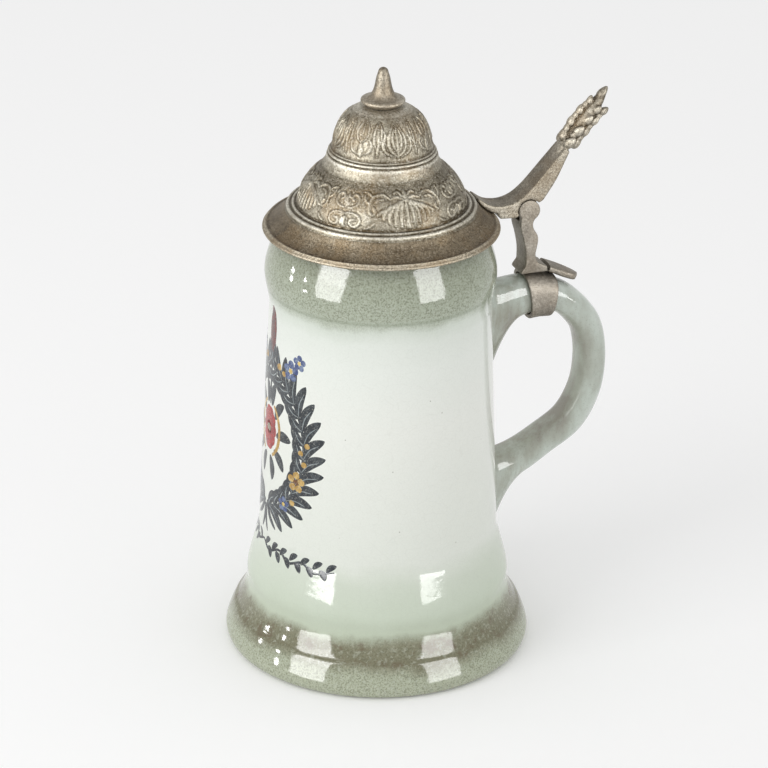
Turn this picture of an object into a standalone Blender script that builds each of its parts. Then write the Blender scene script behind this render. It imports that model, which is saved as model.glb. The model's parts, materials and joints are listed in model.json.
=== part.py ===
"""Beer stein: a turned stoneware mug with a loop handle and a hinged, domed pewter lid.

Frame: origin on the mug's axis at the table, +Z up, the handle towards +X, the hinge axis along Y.
Sizes below are in millimetres; M turns them into metres.
"""
import math

import bmesh
import bpy
from mathutils import Vector

M = 0.001

# Clearances
GAP = 0.3                  # between pieces that touch on the real object
RUNNING_GAP = 0.35         # round the turning knuckle

# Mug body, outer radii from the table up
MUG_HEIGHT = 157.0
FOOT_RADIUS = 55.0         # widest point of the foot roll
FOOT_CONTACT_RADIUS = 51.0
FOOT_ROLL_HEIGHT = 4.6     # height of the widest point
LEDGE_RADIUS = 51.0        # where the roll turns into the hollow above it
LEDGE_HEIGHT = 13.0
WAIST_RADIUS = 46.9        # hollow between foot and lower bulge
WAIST_HEIGHT = 22.5
LOWER_BULGE_RADIUS = 47.0
LOWER_BULGE_HEIGHT = 27.0
SHOULDER_RADIUS = 43.6     # where the lower bulge runs into the tapered wall
SHOULDER_HEIGHT = 40.5
NECK_RADIUS = 39.3         # top of the tapered wall
NECK_DROP = 30.0           # below the rim
TOP_BULGE_RADIUS = 40.7
TOP_BULGE_DROP = 18.0
RIM_RADIUS = 38.9
WALL = 4.2
FLOOR = 9.0
FLOOR_CORNER = 8.0         # rounding between the floor and the wall, inside
FLOOR_INSET = 3.2          # extra wall thickness at that corner
MOUTH_DEPTH = 12.0         # height of the straight stretch inside the mouth
RECESS_RADIUS = 43.0       # shallow recess inside the foot ring
RECESS_DEPTH = 1.2
RECESS_DRAFT = 1.0

# Handle, half sizes of its oval section; places are of its centre line
HANDLE_HALF_WIDTH = 6.8
HANDLE_HALF_THICKNESS = 5.5
HANDLE_ROOT_HALF_HEIGHT = 8.2
HANDLE_TOP_DROP = 31.7     # centre of the upper arm below the rim, at the band
HANDLE_REACH = 80.6        # centre line's furthest point from the axis
HANDLE_REACH_HEIGHT = 98.0
HANDLE_LOW_HEIGHT = 60.5   # centre of the lower root
SECTION_POWER = 2.4        # superellipse exponent of the oval

# Band round the handle
BAND_INSET = 0.2           # its start, inwards from the hinge axis
BAND_LENGTH = 9.8
BAND_THICKNESS = 1.5

# Hinge
HINGE_OFFSET = 12.2        # axis outside the lid's lip
HINGE_RISE = 1.3           # axis above the seat of the lid
EAR_RADIUS = 3.9
HINGE_WIDTH = 9.4          # over both ears
EAR_THICKNESS = 1.6
PIN_RADIUS = 1.25
LEAF_LENGTH = 13.2
LEAF_THICKNESS = 2.0
LEAF_ROOT_HALF_WIDTH = 4.9
LEAF_TIP_HALF_WIDTH = 3.0
LEAF_TILT = math.radians(25.5)
POST_FOOT_REACH = 7.6      # foot of the post outwards from the hinge axis

# Lid, heights above its seat on the rim
LID_OVERHANG = 2.5         # lip outside the mug's rim
LID_WALL = 2.0
BRIM_CLEARANCE = 0.51      # under the thumb lift's tang, square to the table
LIP_HEIGHT = 1.7
BRIM_BEAD_RADIUS = 32.8
BRIM_BEAD_HEIGHT = 8.7
LOWER_DOME_RADIUS = 30.1
LOWER_DOME_FOOT = 9.3
LOWER_DOME_HEIGHT = 24.2
MID_BEAD_RADIUS = 20.1
MID_BEAD_RISE = 6.4        # from the top of the lower dome to the foot of the upper one
UPPER_DOME_RADIUS = 17.3
LID_HEIGHT = 44.8
FLANGE_DEPTH = 3.0         # locating ring that drops inside the mouth
FLANGE_WALL = 2.2
FLANGE_CLEARANCE = 0.9

# Finial
FINIAL_DISC_RADIUS = 7.7
FINIAL_NECK_RADIUS = 6.6
FINIAL_HEIGHT = 13.3

# Thumb lift, its tip measured from the hinge axis
THUMB_TIP_REACH = 29.6
THUMB_TIP_RISE = 40.8
THUMB_HEAD_HALF_WIDTH = 6.4
THUMB_HEAD_HALF_THICKNESS = 2.5

ROUND_STEPS = 48
SECTION_SIDES = 16

# Worked-out places
SEAT_Z = MUG_HEIGHT + GAP
LIP_RADIUS = RIM_RADIUS + LID_OVERHANG
PIVOT_X = LIP_RADIUS + HINGE_OFFSET
PIVOT_Z = SEAT_Z + HINGE_RISE
MOUTH_RADIUS = RIM_RADIUS - WALL
LID_TOP_Z = SEAT_Z + LID_HEIGHT
HANDLE_TOP_Z = MUG_HEIGHT - HANDLE_TOP_DROP
BAND_START = PIVOT_X - BAND_INSET


def clear_scene():
    for item in list(bpy.data.objects):
        bpy.data.objects.remove(item, do_unlink=True)


def make_collection(name):
    group = bpy.data.collections.new(name)
    bpy.context.scene.collection.children.link(group)
    return group


def make_material(name, colour, roughness, metallic=0.0):
    material = bpy.data.materials.new(name)
    material.use_nodes = True
    shader = material.node_tree.nodes["Principled BSDF"]
    shader.inputs["Base Color"].default_value = (*colour, 1.0)
    shader.inputs["Roughness"].default_value = roughness
    shader.inputs["Metallic"].default_value = metallic
    return material


def smooth(points, per_span):
    """Points along a cubic through the given ones, with Catmull-Rom slopes."""
    path = [Vector(p) for p in points]
    out = []
    for i in range(len(path) - 1):
        start, end = path[i], path[i + 1]
        before = path[max(i - 1, 0)]
        after = path[min(i + 2, len(path) - 1)]
        slope_in = (end - before) * (0.5 if i else 1.0)
        slope_out = (after - start) * (0.5 if i + 2 < len(path) else 1.0)
        for k in range(per_span):
            t = k / per_span
            out.append(start * (2 * t**3 - 3 * t**2 + 1) + slope_in * (t**3 - 2 * t**2 + t)
                       + end * (3 * t**2 - 2 * t**3) + slope_out * (t**3 - t**2))
    out.append(path[-1])
    return out


def arc(centre, radius, start, end, count):
    """Points on a circle, angles in degrees from +X towards +Z."""
    out = []
    for k in range(count + 1):
        angle = math.radians(start + (end - start) * k / count)
        out.append(Vector((centre[0] + radius * math.cos(angle), centre[1] + radius * math.sin(angle))))
    return out


def add_object(name, mesh, group, material=None):
    item = bpy.data.objects.new(name, mesh)
    group.objects.link(item)
    if material:
        mesh.materials.append(material)
    return item


def turned(name, profile, group, material=None):
    """A profile of (radius, height) points turned round the Z axis by a Screw modifier."""
    mesh = bpy.data.meshes.new(name)
    points = [(r * M, 0.0, z * M) for r, z in profile]
    mesh.from_pydata(points, [(i, i + 1) for i in range(len(points) - 1)], [])
    item = add_object(name, mesh, group, material)
    screw = item.modifiers.new("turn", "SCREW")
    screw.steps = screw.render_steps = ROUND_STEPS
    screw.use_merge_vertices = True
    screw.merge_threshold = 0.00001
    return item


def plate(name, outline, half_width, group, material=None, centre_y=0.0):
    """A closed outline of (x, z) points, extruded along Y."""
    curve = bpy.data.curves.new(name, "CURVE")
    curve.dimensions = "2D"
    curve.fill_mode = "BOTH"
    curve.extrude = half_width * M
    spline = curve.splines.new("POLY")
    spline.points.add(len(outline) - 1)
    for point, (x, z) in zip(spline.points, outline):
        point.co = (x * M, z * M, 0.0, 1.0)
    spline.use_cyclic_u = True
    item = bpy.data.objects.new(name + "_outline", curve)
    item.rotation_euler = (math.pi / 2, 0.0, 0.0)
    item.location = (0.0, centre_y * M, 0.0)
    group.objects.link(item)
    return curve_to_mesh(item, name, group, material)


def curve_to_mesh(item, name, group, material=None):
    bpy.context.view_layer.update()
    evaluated = item.evaluated_get(bpy.context.evaluated_depsgraph_get())
    mesh = bpy.data.meshes.new_from_object(evaluated)
    mesh.name = name
    matrix = item.matrix_world.copy()
    curve = item.data
    bpy.data.objects.remove(item, do_unlink=True)
    bpy.data.curves.remove(curve)
    mesh.materials.clear()
    work = bmesh.new()
    work.from_mesh(mesh)
    bmesh.ops.remove_doubles(work, verts=work.verts, dist=1e-6)
    bmesh.ops.recalc_face_normals(work, faces=work.faces)
    work.to_mesh(mesh)
    work.free()
    solid = add_object(name, mesh, group, material)
    solid.matrix_world = matrix
    return solid


def rod(name, radius, half_length, centre, group, material=None, sides=40):
    """A cylinder along Y."""
    mesh = bpy.data.meshes.new(name)
    work = bmesh.new()
    bmesh.ops.create_cone(work, cap_ends=True, segments=sides, radius1=radius * M, radius2=radius * M,
                          depth=2 * half_length * M)
    work.to_mesh(mesh)
    work.free()
    item = add_object(name, mesh, group, material)
    item.rotation_euler = (math.pi / 2, 0.0, 0.0)
    item.location = (centre[0] * M, centre[1] * M, centre[2] * M)
    return item


def loft(name, stations, group, material=None, grow=0.0):
    """A tube of superellipse sections. A station is (x, z, half thickness, half width).

    Each section stands square to the path, which lies in the XZ plane."""
    mesh = bpy.data.meshes.new(name)
    work = bmesh.new()
    rings = []
    for i, (x, z, thick, wide) in enumerate(stations):
        back, ahead = stations[max(i - 1, 0)], stations[min(i + 1, len(stations) - 1)]
        along = Vector((ahead[0] - back[0], 0.0, ahead[1] - back[1])).normalized()
        across = Vector((-along.z, 0.0, along.x))
        ring = []
        for k in range(SECTION_SIDES):
            angle = 2 * math.pi * k / SECTION_SIDES
            c, s = math.cos(angle), math.sin(angle)
            u = math.copysign(abs(c) ** (2 / SECTION_POWER), c) * (thick + grow)
            v = math.copysign(abs(s) ** (2 / SECTION_POWER), s) * (wide + grow)
            point = Vector((x, 0.0, z)) + across * u + Vector((0.0, v, 0.0))
            ring.append(work.verts.new(point * M))
        rings.append(ring)
    for low, high in zip(rings, rings[1:]):
        for k in range(SECTION_SIDES):
            n = (k + 1) % SECTION_SIDES
            work.faces.new((low[k], low[n], high[n], high[k]))
    work.faces.new(rings[0])
    work.faces.new(rings[-1])
    bmesh.ops.recalc_face_normals(work, faces=work.faces)
    work.to_mesh(mesh)
    work.free()
    return add_object(name, mesh, group, material)


def combine(target, tool, operation):
    change = target.modifiers.new(tool.name, "BOOLEAN")
    change.operation = operation
    change.object = tool
    change.solver = "EXACT"
    tool.hide_render = True
    tool.display_type = "WIRE"
    return target


def outer_wall():
    """The mug's outer surface as (radius, height), from the rim's edge down to the table."""
    wall = [(RIM_RADIUS, MUG_HEIGHT - WALL / 2),
            (RIM_RADIUS + 0.4, MUG_HEIGHT - 8.0),
            (TOP_BULGE_RADIUS, MUG_HEIGHT - TOP_BULGE_DROP),
            (NECK_RADIUS + 0.3, MUG_HEIGHT - 0.8 * NECK_DROP),
            (NECK_RADIUS, MUG_HEIGHT - NECK_DROP)]
    taper = [(NECK_RADIUS + (SHOULDER_RADIUS - 1.6 - NECK_RADIUS) * t,
              MUG_HEIGHT - NECK_DROP + (SHOULDER_HEIGHT + 25.0 - MUG_HEIGHT + NECK_DROP) * t)
             for t in (0.35, 0.7, 1.0)]
    foot = [(SHOULDER_RADIUS - 0.9, SHOULDER_HEIGHT + 9.0),
            (SHOULDER_RADIUS, SHOULDER_HEIGHT),
            (LOWER_BULGE_RADIUS - 0.9, LOWER_BULGE_HEIGHT + 5.0),
            (LOWER_BULGE_RADIUS, LOWER_BULGE_HEIGHT),
            (WAIST_RADIUS, WAIST_HEIGHT),
            (WAIST_RADIUS + 1.2, (WAIST_HEIGHT + LEDGE_HEIGHT) / 2),
            (LEDGE_RADIUS, LEDGE_HEIGHT),
            (FOOT_RADIUS - 1.2, FOOT_ROLL_HEIGHT + 3.8),
            (FOOT_RADIUS, FOOT_ROLL_HEIGHT),
            (FOOT_RADIUS - 1.3, 1.4),
            (FOOT_CONTACT_RADIUS, 0.0)]
    return smooth(wall + taper + foot, 2)


def inner_wall():
    """The inside, from the middle of the floor up to the mouth."""
    corner = FLOOR_CORNER
    radius = LOWER_BULGE_RADIUS - WALL - FLOOR_INSET
    rounded = arc((radius - corner, FLOOR + corner), corner, -90.0, 0.0, 5)
    upper = [(SHOULDER_RADIUS - WALL, SHOULDER_HEIGHT), (NECK_RADIUS - WALL, MUG_HEIGHT - NECK_DROP),
             (MOUTH_RADIUS, MUG_HEIGHT - MOUTH_DEPTH), (MOUTH_RADIUS, MUG_HEIGHT - WALL / 2)]
    return [Vector((0.0, FLOOR))] + rounded[:-1] + smooth([tuple(rounded[-1])] + upper, 2)


def make_mug_body(group, material):
    rim = arc((RIM_RADIUS - WALL / 2, MUG_HEIGHT - WALL / 2), WALL / 2, 180.0, 0.0, 6)
    underside = [(RECESS_RADIUS + RECESS_DRAFT, 0.0), (RECESS_RADIUS, RECESS_DEPTH), (0.0, RECESS_DEPTH)]
    profile = inner_wall()[:-1] + rim + outer_wall()[1:] + [Vector(p) for p in underside]
    return turned("mug_body", profile, group, material)


def make_body_cutter(group):
    """The mug's outer shape grown by the gap, which trims what is set on it."""
    past = 5.0
    grown = [Vector((r + GAP, z)) for r, z in outer_wall()]
    profile = [Vector((0.0, MUG_HEIGHT + past)), Vector((RIM_RADIUS + GAP, MUG_HEIGHT + past))]
    profile += grown + [Vector((FOOT_CONTACT_RADIUS + GAP, -past)), Vector((0.0, -past))]
    return turned("body_space", profile, group)


def handle_path():
    """Stations of the handle: centre, half thickness across the loop, half width.

    Both roots start inside the wall, so they are placed from its radii, and the arm under the
    band from the hinge axis; the loop between them is placed from the reach."""
    top, low, neck, shoulder = HANDLE_TOP_Z, HANDLE_LOW_HEIGHT, NECK_RADIUS, SHOULDER_RADIUS
    thick, wide, root = HANDLE_HALF_THICKNESS, HANDLE_HALF_WIDTH, HANDLE_ROOT_HALF_HEIGHT
    reach, reach_z = HANDLE_REACH, HANDLE_REACH_HEIGHT
    stations = [(neck - 5.3, top - 4.3, root + 0.6, wide + 1.2),
                (neck + 4.7, top - 1.8, root, wide + 0.4),
                (PIVOT_X - 0.6, top + 0.1, root - 0.9, wide),
                (PIVOT_X + 7.4, top - 0.3, root - 1.9, wide),
                (reach - 12.7, top - 3.9, thick + 0.1, wide),
                (reach - 6.0, top - 9.6, thick, wide),
                (reach - 1.6, (top + reach_z) / 2 - 2.5, thick, wide),
                (reach, reach_z, thick, wide),
                (reach - 2.0, reach_z - 12.0, thick, wide),
                (reach - 8.2, reach_z - 22.6, thick, wide),
                (reach - 19.0, low + 7.8, thick + 0.2, wide),
                (shoulder + 9.9, low + 2.2, thick + 1.2, wide + 0.4),
                (shoulder + 0.4, low - 1.0, root - 0.2, wide + 1.0),
                (shoulder - 7.6, low - 3.0, root + 0.8, wide + 1.4)]
    return [tuple(p) for p in smooth_stations(stations, 3)]


def smooth_stations(stations, per_span):
    """The cubic through four-number stations, done as two pairs."""
    places = smooth([s[:2] for s in stations], per_span)
    sizes = smooth([s[2:] for s in stations], per_span)
    return [(*place, *size) for place, size in zip(places, sizes)]


def make_handle(group, cutters, body_cutter, material):
    """The loop, with the tail under each root that thins out down the wall."""
    handle = loft("handle", handle_path(), group, material)
    top, low, neck, shoulder = HANDLE_TOP_Z, HANDLE_LOW_HEIGHT, NECK_RADIUS, SHOULDER_RADIUS
    upper_tail = loft("handle_upper_tail", smooth_stations(
        [(neck + 3.7, top, 5.0, 5.6), (neck + 3.7, top - 8.0, 5.6, 6.4), (neck + 2.9, top - 15.0, 4.8, 5.0),
         (neck + 1.7, top - 20.0, 3.4, 3.6), (neck + 0.3, top - 23.0, 1.6, 1.8)], 3), cutters)
    lower_tail = loft("handle_lower_tail", smooth_stations(
        [(shoulder + 2.4, low + 3.0, 5.4, 5.6), (shoulder + 3.0, low - 5.0, 5.2, 6.2),
         (shoulder + 2.6, low - 11.0, 3.8, 4.8), (shoulder + 2.0, low - 16.5, 2.6, 3.2),
         (shoulder + 1.2, low - 20.5, 1.2, 1.6)], 3), cutters)
    combine(handle, upper_tail, "UNION")
    combine(handle, lower_tail, "UNION")
    combine(handle, body_cutter, "DIFFERENCE")
    return handle


def at_distance(x):
    """The station of the upper arm at a distance from the mug's axis, between its neighbours."""
    path = [s for s in handle_path() if s[1] > HANDLE_REACH_HEIGHT]
    for low, high in zip(path, path[1:]):
        if low[0] <= x <= high[0]:
            t = (x - low[0]) / (high[0] - low[0])
            return tuple(a + (b - a) * t for a, b in zip(low, high))
    return path[-1]


def make_handle_band(group, cutters, material):
    steps, past = 6, 2.0
    shares = [k / steps for k in range(steps + 1)]
    inside = [at_distance(BAND_START - past + (BAND_LENGTH + 2 * past) * share) for share in shares]
    outside = [at_distance(BAND_START + BAND_LENGTH * share) for share in shares]
    band = loft("handle_band", outside, group, material, grow=GAP + BAND_THICKNESS)
    bore = loft("band_bore", inside, cutters, grow=GAP)
    return combine(band, bore, "DIFFERENCE")


def band_top(x):
    """Height of the band's upper surface at a distance from the mug's axis."""
    station = at_distance(x)
    return station[1] + station[2] + GAP + BAND_THICKNESS


def post_base():
    """The post stands just above the highest point of the band."""
    return max(band_top(BAND_START + BAND_LENGTH * k / 8) for k in range(9)) + GAP


def make_hinge_post(group, cutters, material):
    base = post_base()
    px, pz = PIVOT_X, PIVOT_Z
    head = arc((px, pz), EAR_RADIUS, 222.0, -62.0, 16)
    shank = [(px + 1.0, pz - 6.3), (px + 2.9, pz - 9.2), (px + 3.5, pz - 12.0), (px + 2.9, base + 6.8),
             (px + 3.7, base + 4.2)]
    foot = [(px + POST_FOOT_REACH, base + 2.2), (px + POST_FOOT_REACH, base), (px - 2.4, base),
            (px - 2.2, base + 1.2), (px - 0.4, base + 3.4)]
    inner_edge = [(px - 1.2, base + 9.6), (px - 2.9, pz - 6.8), (px - 3.3, pz - 4.4)]
    outline = head + [Vector(p) for p in shank + foot + inner_edge]
    post = plate("hinge_post", outline, HINGE_WIDTH / 2, group, material)
    slot_half = HINGE_WIDTH / 2 - EAR_THICKNESS
    floor, clear = EAR_RADIUS + RUNNING_GAP, 9.0
    corners = [(-clear, -floor), (clear, -floor), (clear, clear), (-clear, clear)]
    slot = plate("knuckle_slot", [Vector((px + x, pz + z)) for x, z in corners], slot_half, cutters)
    bore = rod("post_bore", PIN_RADIUS + GAP, HINGE_WIDTH, (px, 0.0, pz), cutters)
    combine(post, slot, "DIFFERENCE")
    return combine(post, bore, "DIFFERENCE")


def make_hinge_pin(group, material):
    return rod("hinge_pin", PIN_RADIUS, HINGE_WIDTH / 2, (PIVOT_X, 0.0, PIVOT_Z), group, material)


def make_strap_leaf(group, material):
    """The tapered tongue behind the post, lying down the back of the handle."""
    start_x = PIVOT_X + POST_FOOT_REACH + GAP
    start_z = post_base()
    mesh = bpy.data.meshes.new("strap_leaf")
    work = bmesh.new()
    bmesh.ops.create_cube(work, size=1.0)
    for vert in work.verts:
        half = LEAF_ROOT_HALF_WIDTH if vert.co.x < 0 else LEAF_TIP_HALF_WIDTH
        vert.co = Vector(((vert.co.x + 0.5) * LEAF_LENGTH, vert.co.y * 2 * half,
                          (vert.co.z + 0.5) * LEAF_THICKNESS)) * M
    work.to_mesh(mesh)
    work.free()
    leaf = add_object("strap_leaf", mesh, group, material)
    leaf.location = (start_x * M, 0.0, start_z * M)
    leaf.rotation_euler = (0.0, LEAF_TILT, 0.0)
    edge = leaf.modifiers.new("round", "BEVEL")
    edge.width = 0.5 * M
    edge.segments = 2
    return leaf


def dome_arc(foot, crown, height, base, power, count):
    """A quarter of a superellipse from (crown, height) down to (foot, base)."""
    out = []
    for k in range(count + 1):
        angle = math.pi / 2 * (1 - k / count)
        out.append(Vector((crown + (foot - crown) * math.cos(angle) ** (2 / power),
                           base + (height - base) * math.sin(angle) ** (2 / power))))
    return out


def lower_dome(radius, foot, crown, height):
    """The lower dome's slightly straightened curve, from its crown down to its foot."""
    shares = ((0.0, 1.0), (0.26, 0.79), (0.62, 0.55), (0.87, 0.26), (1.0, 0.0))
    return smooth([(crown + (radius - crown) * out, foot + (height - foot) * up) for out, up in shares], 2)


def brim_slope():
    """The hollowed slope between the bead and the lip, as (radius, height above the seat)."""
    low, high = LIP_HEIGHT, BRIM_BEAD_HEIGHT - 1.7
    start, end = LIP_RADIUS - 1.1, BRIM_BEAD_RADIUS + 0.8
    shares = ((0.22, 0.33), (0.52, 0.64), (1.0, 1.0))
    return [(end + (start - end) * out, high + (low - high) * down) for out, down in shares]


def lid_outside():
    seat, boss = SEAT_Z, FINIAL_NECK_RADIUS + 0.2
    crown, bead = MID_BEAD_RADIUS, BRIM_BEAD_RADIUS
    crown_z, bead_z = seat + LOWER_DOME_HEIGHT, seat + BRIM_BEAD_HEIGHT
    upper_foot = crown_z + MID_BEAD_RISE
    top = [(0.0, LID_TOP_Z), (boss, LID_TOP_Z)]
    upper = dome_arc(UPPER_DOME_RADIUS, boss, LID_TOP_Z - 0.2, upper_foot + 0.8, 1.95, 8)
    middle = [(crown - 1.7, upper_foot), (crown - 1.1, upper_foot - 1.6), (crown - 0.3, crown_z + 2.0)]
    lower = lower_dome(LOWER_DOME_RADIUS, seat + LOWER_DOME_FOOT, crown, crown_z)
    beads = [(bead - 1.9, bead_z + 1.1), (bead - 0.8, bead_z + 0.9), (bead, bead_z),
             (bead + 0.8, bead_z - 1.7)]
    brim = [(x, seat + z) for x, z in brim_slope()]
    brim += [(LIP_RADIUS - 0.4, seat + LIP_HEIGHT - 0.3), (LIP_RADIUS, seat + LIP_HEIGHT / 2),
             (LIP_RADIUS - 0.5, seat)]
    vectors = [[Vector(p) for p in part] for part in (top, upper, middle, lower, beads, brim)]
    return [p for part in vectors for p in part]


def make_lid(group, material):
    seat, wall = SEAT_Z, LID_WALL
    flange = MOUTH_RADIUS - FLANGE_CLEARANCE
    crown_z = seat + LOWER_DOME_HEIGHT
    inside = [(flange, seat), (flange - 0.3, seat - FLANGE_DEPTH),
              (flange - FLANGE_WALL, seat - FLANGE_DEPTH), (flange - FLANGE_WALL, seat + 1.2)]
    lower = lower_dome(LOWER_DOME_RADIUS - wall, seat + LOWER_DOME_FOOT,
                       MID_BEAD_RADIUS - wall, crown_z - wall)
    upper = dome_arc(UPPER_DOME_RADIUS - wall, 0.0, LID_TOP_Z - wall, crown_z + wall, 2.0, 7)
    profile = lid_outside() + [Vector(p) for p in inside] + lower[::-1] + upper[::-1]
    return turned("lid", profile, group, material)


def make_finial(group, material):
    base = LID_TOP_Z + GAP
    disc, neck, tall = FINIAL_DISC_RADIUS, FINIAL_NECK_RADIUS, FINIAL_HEIGHT
    top = base + tall
    spike = [(0.0, top), (1.1, top - 0.3), (1.9, top - 1.3), (2.4, top - 3.2), (2.9, top - 6.2)]
    collar = [(3.4, base + 5.4), (4.6, base + 3.9), (disc - 0.8, base + 3.3), (disc, base + 2.4),
              (disc - 0.4, base + 1.4), (neck - 0.5, base + 0.9), (neck, base), (0.0, base)]
    return turned("finial", [Vector(p) for p in spike + collar], group, material)


def make_thumb_lift(group, cutters, material):
    px, pz = PIVOT_X, PIVOT_Z
    lip, seat = LIP_RADIUS, SEAT_Z
    root_x = BRIM_BEAD_RADIUS + 1.5
    slope = [(x, seat + z + BRIM_CLEARANCE) for x, z in brim_slope()]
    end_x, end_z = slope[0]
    rise = (end_z - slope[1][1]) / (slope[1][0] - end_x)
    root_z = end_z + (end_x - root_x) * rise
    top = smooth([(root_x, root_z + 0.5), (px - 15.2, pz + 4.0), (px - 11.5, pz + 3.0),
                  (px - 7.7, pz + 3.1), (px - 3.9, pz + 4.5), (px, pz + 7.5), (px + 3.4, pz + 11.7),
                  (px + 7.0, pz + 16.0), (px + 12.4, pz + 22.0)], 2)
    under = smooth([(px + 13.2, pz + 21.2), (px + 12.2, pz + 17.4), (px + 9.2, pz + 10.5),
                    (px + 4.7, pz + 3.2)], 2)
    knuckle = arc((px, pz), EAR_RADIUS, 36.0, -140.0, 14)
    tang = [(px - 5.0, pz - 2.2), (lip + 1.6, pz - 2.0), (lip + 0.6, pz - 0.6),
            (lip + 0.4, seat + LIP_HEIGHT), (slope[2][0], slope[2][1] + 0.1), slope[1], slope[0],
            (root_x, root_z)]
    outline = list(top) + list(under) + knuckle + [Vector(p) for p in tang]
    lift = plate("thumb_lift", outline, HINGE_WIDTH / 2, group, material)
    tip_x, tip_z = px + THUMB_TIP_REACH, pz + THUMB_TIP_RISE
    wide, thick = THUMB_HEAD_HALF_WIDTH, THUMB_HEAD_HALF_THICKNESS
    head = loft("thumb_head", smooth_stations(
        [(px + 12.0, pz + 20.0, 1.6, 4.2), (px + 16.1, pz + 26.6, thick, wide - 0.8),
         (px + 20.5, pz + 31.8, thick + 0.2, wide), (px + 25.4, pz + 36.4, thick - 0.2, wide - 1.2),
         (tip_x, tip_z, 0.9, 1.4)], 3), cutters)
    space = 4.0
    for name, side in (("ear_space_left", -1), ("ear_space_right", 1)):
        centre = (px, side * (HINGE_WIDTH / 2 - EAR_THICKNESS + space - GAP), pz)
        combine(lift, rod(name, EAR_RADIUS + RUNNING_GAP, space, centre, cutters), "DIFFERENCE")
    combine(lift, rod("knuckle_bore", PIN_RADIUS + GAP, HINGE_WIDTH, (px, 0.0, pz), cutters), "DIFFERENCE")
    return combine(lift, head, "UNION")


def shade_round(item, angle=math.radians(32.0)):
    item.data.shade_smooth()
    item.data.set_sharp_from_angle(angle=angle)


def main():
    clear_scene()
    stein = make_collection("beer_stein")
    cutters = make_collection("cutters")
    glaze = make_material("glazed_stoneware", (0.66, 0.71, 0.65), 0.12)
    green = make_material("green_glazed_stoneware", (0.42, 0.47, 0.40), 0.12)
    pewter = make_material("antique_pewter", (0.36, 0.32, 0.27), 0.38, 1.0)
    plain = make_material("plain_pewter", (0.48, 0.45, 0.41), 0.35, 1.0)
    steel = make_material("pin_steel", (0.55, 0.55, 0.54), 0.3, 1.0)
    body_cutter = make_body_cutter(cutters)
    pieces = [make_mug_body(stein, glaze),
              make_handle(stein, cutters, body_cutter, green),
              make_handle_band(stein, cutters, plain),
              make_hinge_post(stein, cutters, plain),
              make_strap_leaf(stein, plain),
              make_hinge_pin(stein, steel),
              make_thumb_lift(stein, cutters, plain),
              make_lid(stein, pewter),
              make_finial(stein, pewter)]
    for piece in pieces:
        shade_round(piece)


main()
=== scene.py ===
# %% [markdown]
# # A lidded stein, dressed round its frame
# The frame holds the stein's true sizes: mug, handle, hinge and lid, each in its place. This
# lesson builds the fine surfaces over it, one piece at a time, and gives each its finish.
# Lengths are in millimetres until a mesh is made.

# %% Load the frame
import json
import math

import bmesh
import bpy
import numpy as np
from mathutils import Matrix, Vector


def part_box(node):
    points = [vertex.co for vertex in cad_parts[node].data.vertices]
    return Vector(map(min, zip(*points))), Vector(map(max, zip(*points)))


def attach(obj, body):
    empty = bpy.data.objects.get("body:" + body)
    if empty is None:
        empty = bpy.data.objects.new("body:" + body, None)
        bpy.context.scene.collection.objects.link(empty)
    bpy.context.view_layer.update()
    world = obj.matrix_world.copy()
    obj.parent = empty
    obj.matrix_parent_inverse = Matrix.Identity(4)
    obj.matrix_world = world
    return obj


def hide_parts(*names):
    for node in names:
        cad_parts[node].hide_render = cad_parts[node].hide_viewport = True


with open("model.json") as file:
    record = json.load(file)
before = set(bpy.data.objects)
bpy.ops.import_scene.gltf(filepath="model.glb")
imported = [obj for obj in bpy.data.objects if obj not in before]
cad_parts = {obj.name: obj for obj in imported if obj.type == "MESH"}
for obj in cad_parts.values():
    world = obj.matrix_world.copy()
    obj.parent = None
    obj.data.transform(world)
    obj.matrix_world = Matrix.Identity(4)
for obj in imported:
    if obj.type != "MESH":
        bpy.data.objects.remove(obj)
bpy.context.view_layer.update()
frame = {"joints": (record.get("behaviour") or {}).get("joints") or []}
MM = 0.001


def corners(node):
    """Lowest and highest corner of a frame node, in millimetres."""
    low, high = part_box(node)
    return np.array(low) / MM, np.array(high) / MM


RIM_Z = corners("mug_body")[1][2]
FOOT_RADIUS = corners("mug_body")[1][1]
LIP_RADIUS, LID_TOP = corners("lid")[1][1:]
SEAT_GAP = 0.3
SEAT_Z = RIM_Z + SEAT_GAP
TIP_Z = corners("finial")[1][2]
PIVOT_X, _, PIVOT_Z = np.array(frame["joints"][0]["pos_m"]) / MM
POST_BASE = corners("hinge_post")[0][2]
HINGE_HALF = corners("hinge_post")[1][1]
print(f"rim at {RIM_Z:.1f}, lid top at {LID_TOP:.1f}, hinge axis {PIVOT_X:.1f} out and {PIVOT_Z:.1f} up")

# %% [markdown]
# ## Curves and grids
# A potter's profile is a few stations joined by a fair curve. It could be drawn with Bezier
# handles, but a cubic through the stations keeps the numbers readable. Every surface here is a
# grid of points: rows along a profile or a path, columns across or round it.

# %% Curves
def curve_through(points, per_span=16):
    """Cubic through the points: each span blends its ends' places and slopes, and a slope is
    half the step from the point before to the point after."""
    p = np.asarray(points, float)
    slope = np.gradient(p, axis=0)
    t = (np.arange(per_span) / per_span)[None, :, None]
    start, end = p[:-1, None], p[1:, None]
    spans = (start * (2 * t**3 - 3 * t**2 + 1) + slope[:-1, None] * (t**3 - 2 * t**2 + t)
             + end * (3 * t**2 - 2 * t**3) + slope[1:, None] * (t**3 - t**2))
    return np.concatenate([spans.reshape(-1, p.shape[1]), p[-1:]])


def lengths_along(path):
    """Distance from the start of the path to each of its points, in its first two numbers."""
    steps = np.linalg.norm(np.diff(path[:, :2], axis=0), axis=1)
    return np.concatenate([[0.0], np.cumsum(steps)])


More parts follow.
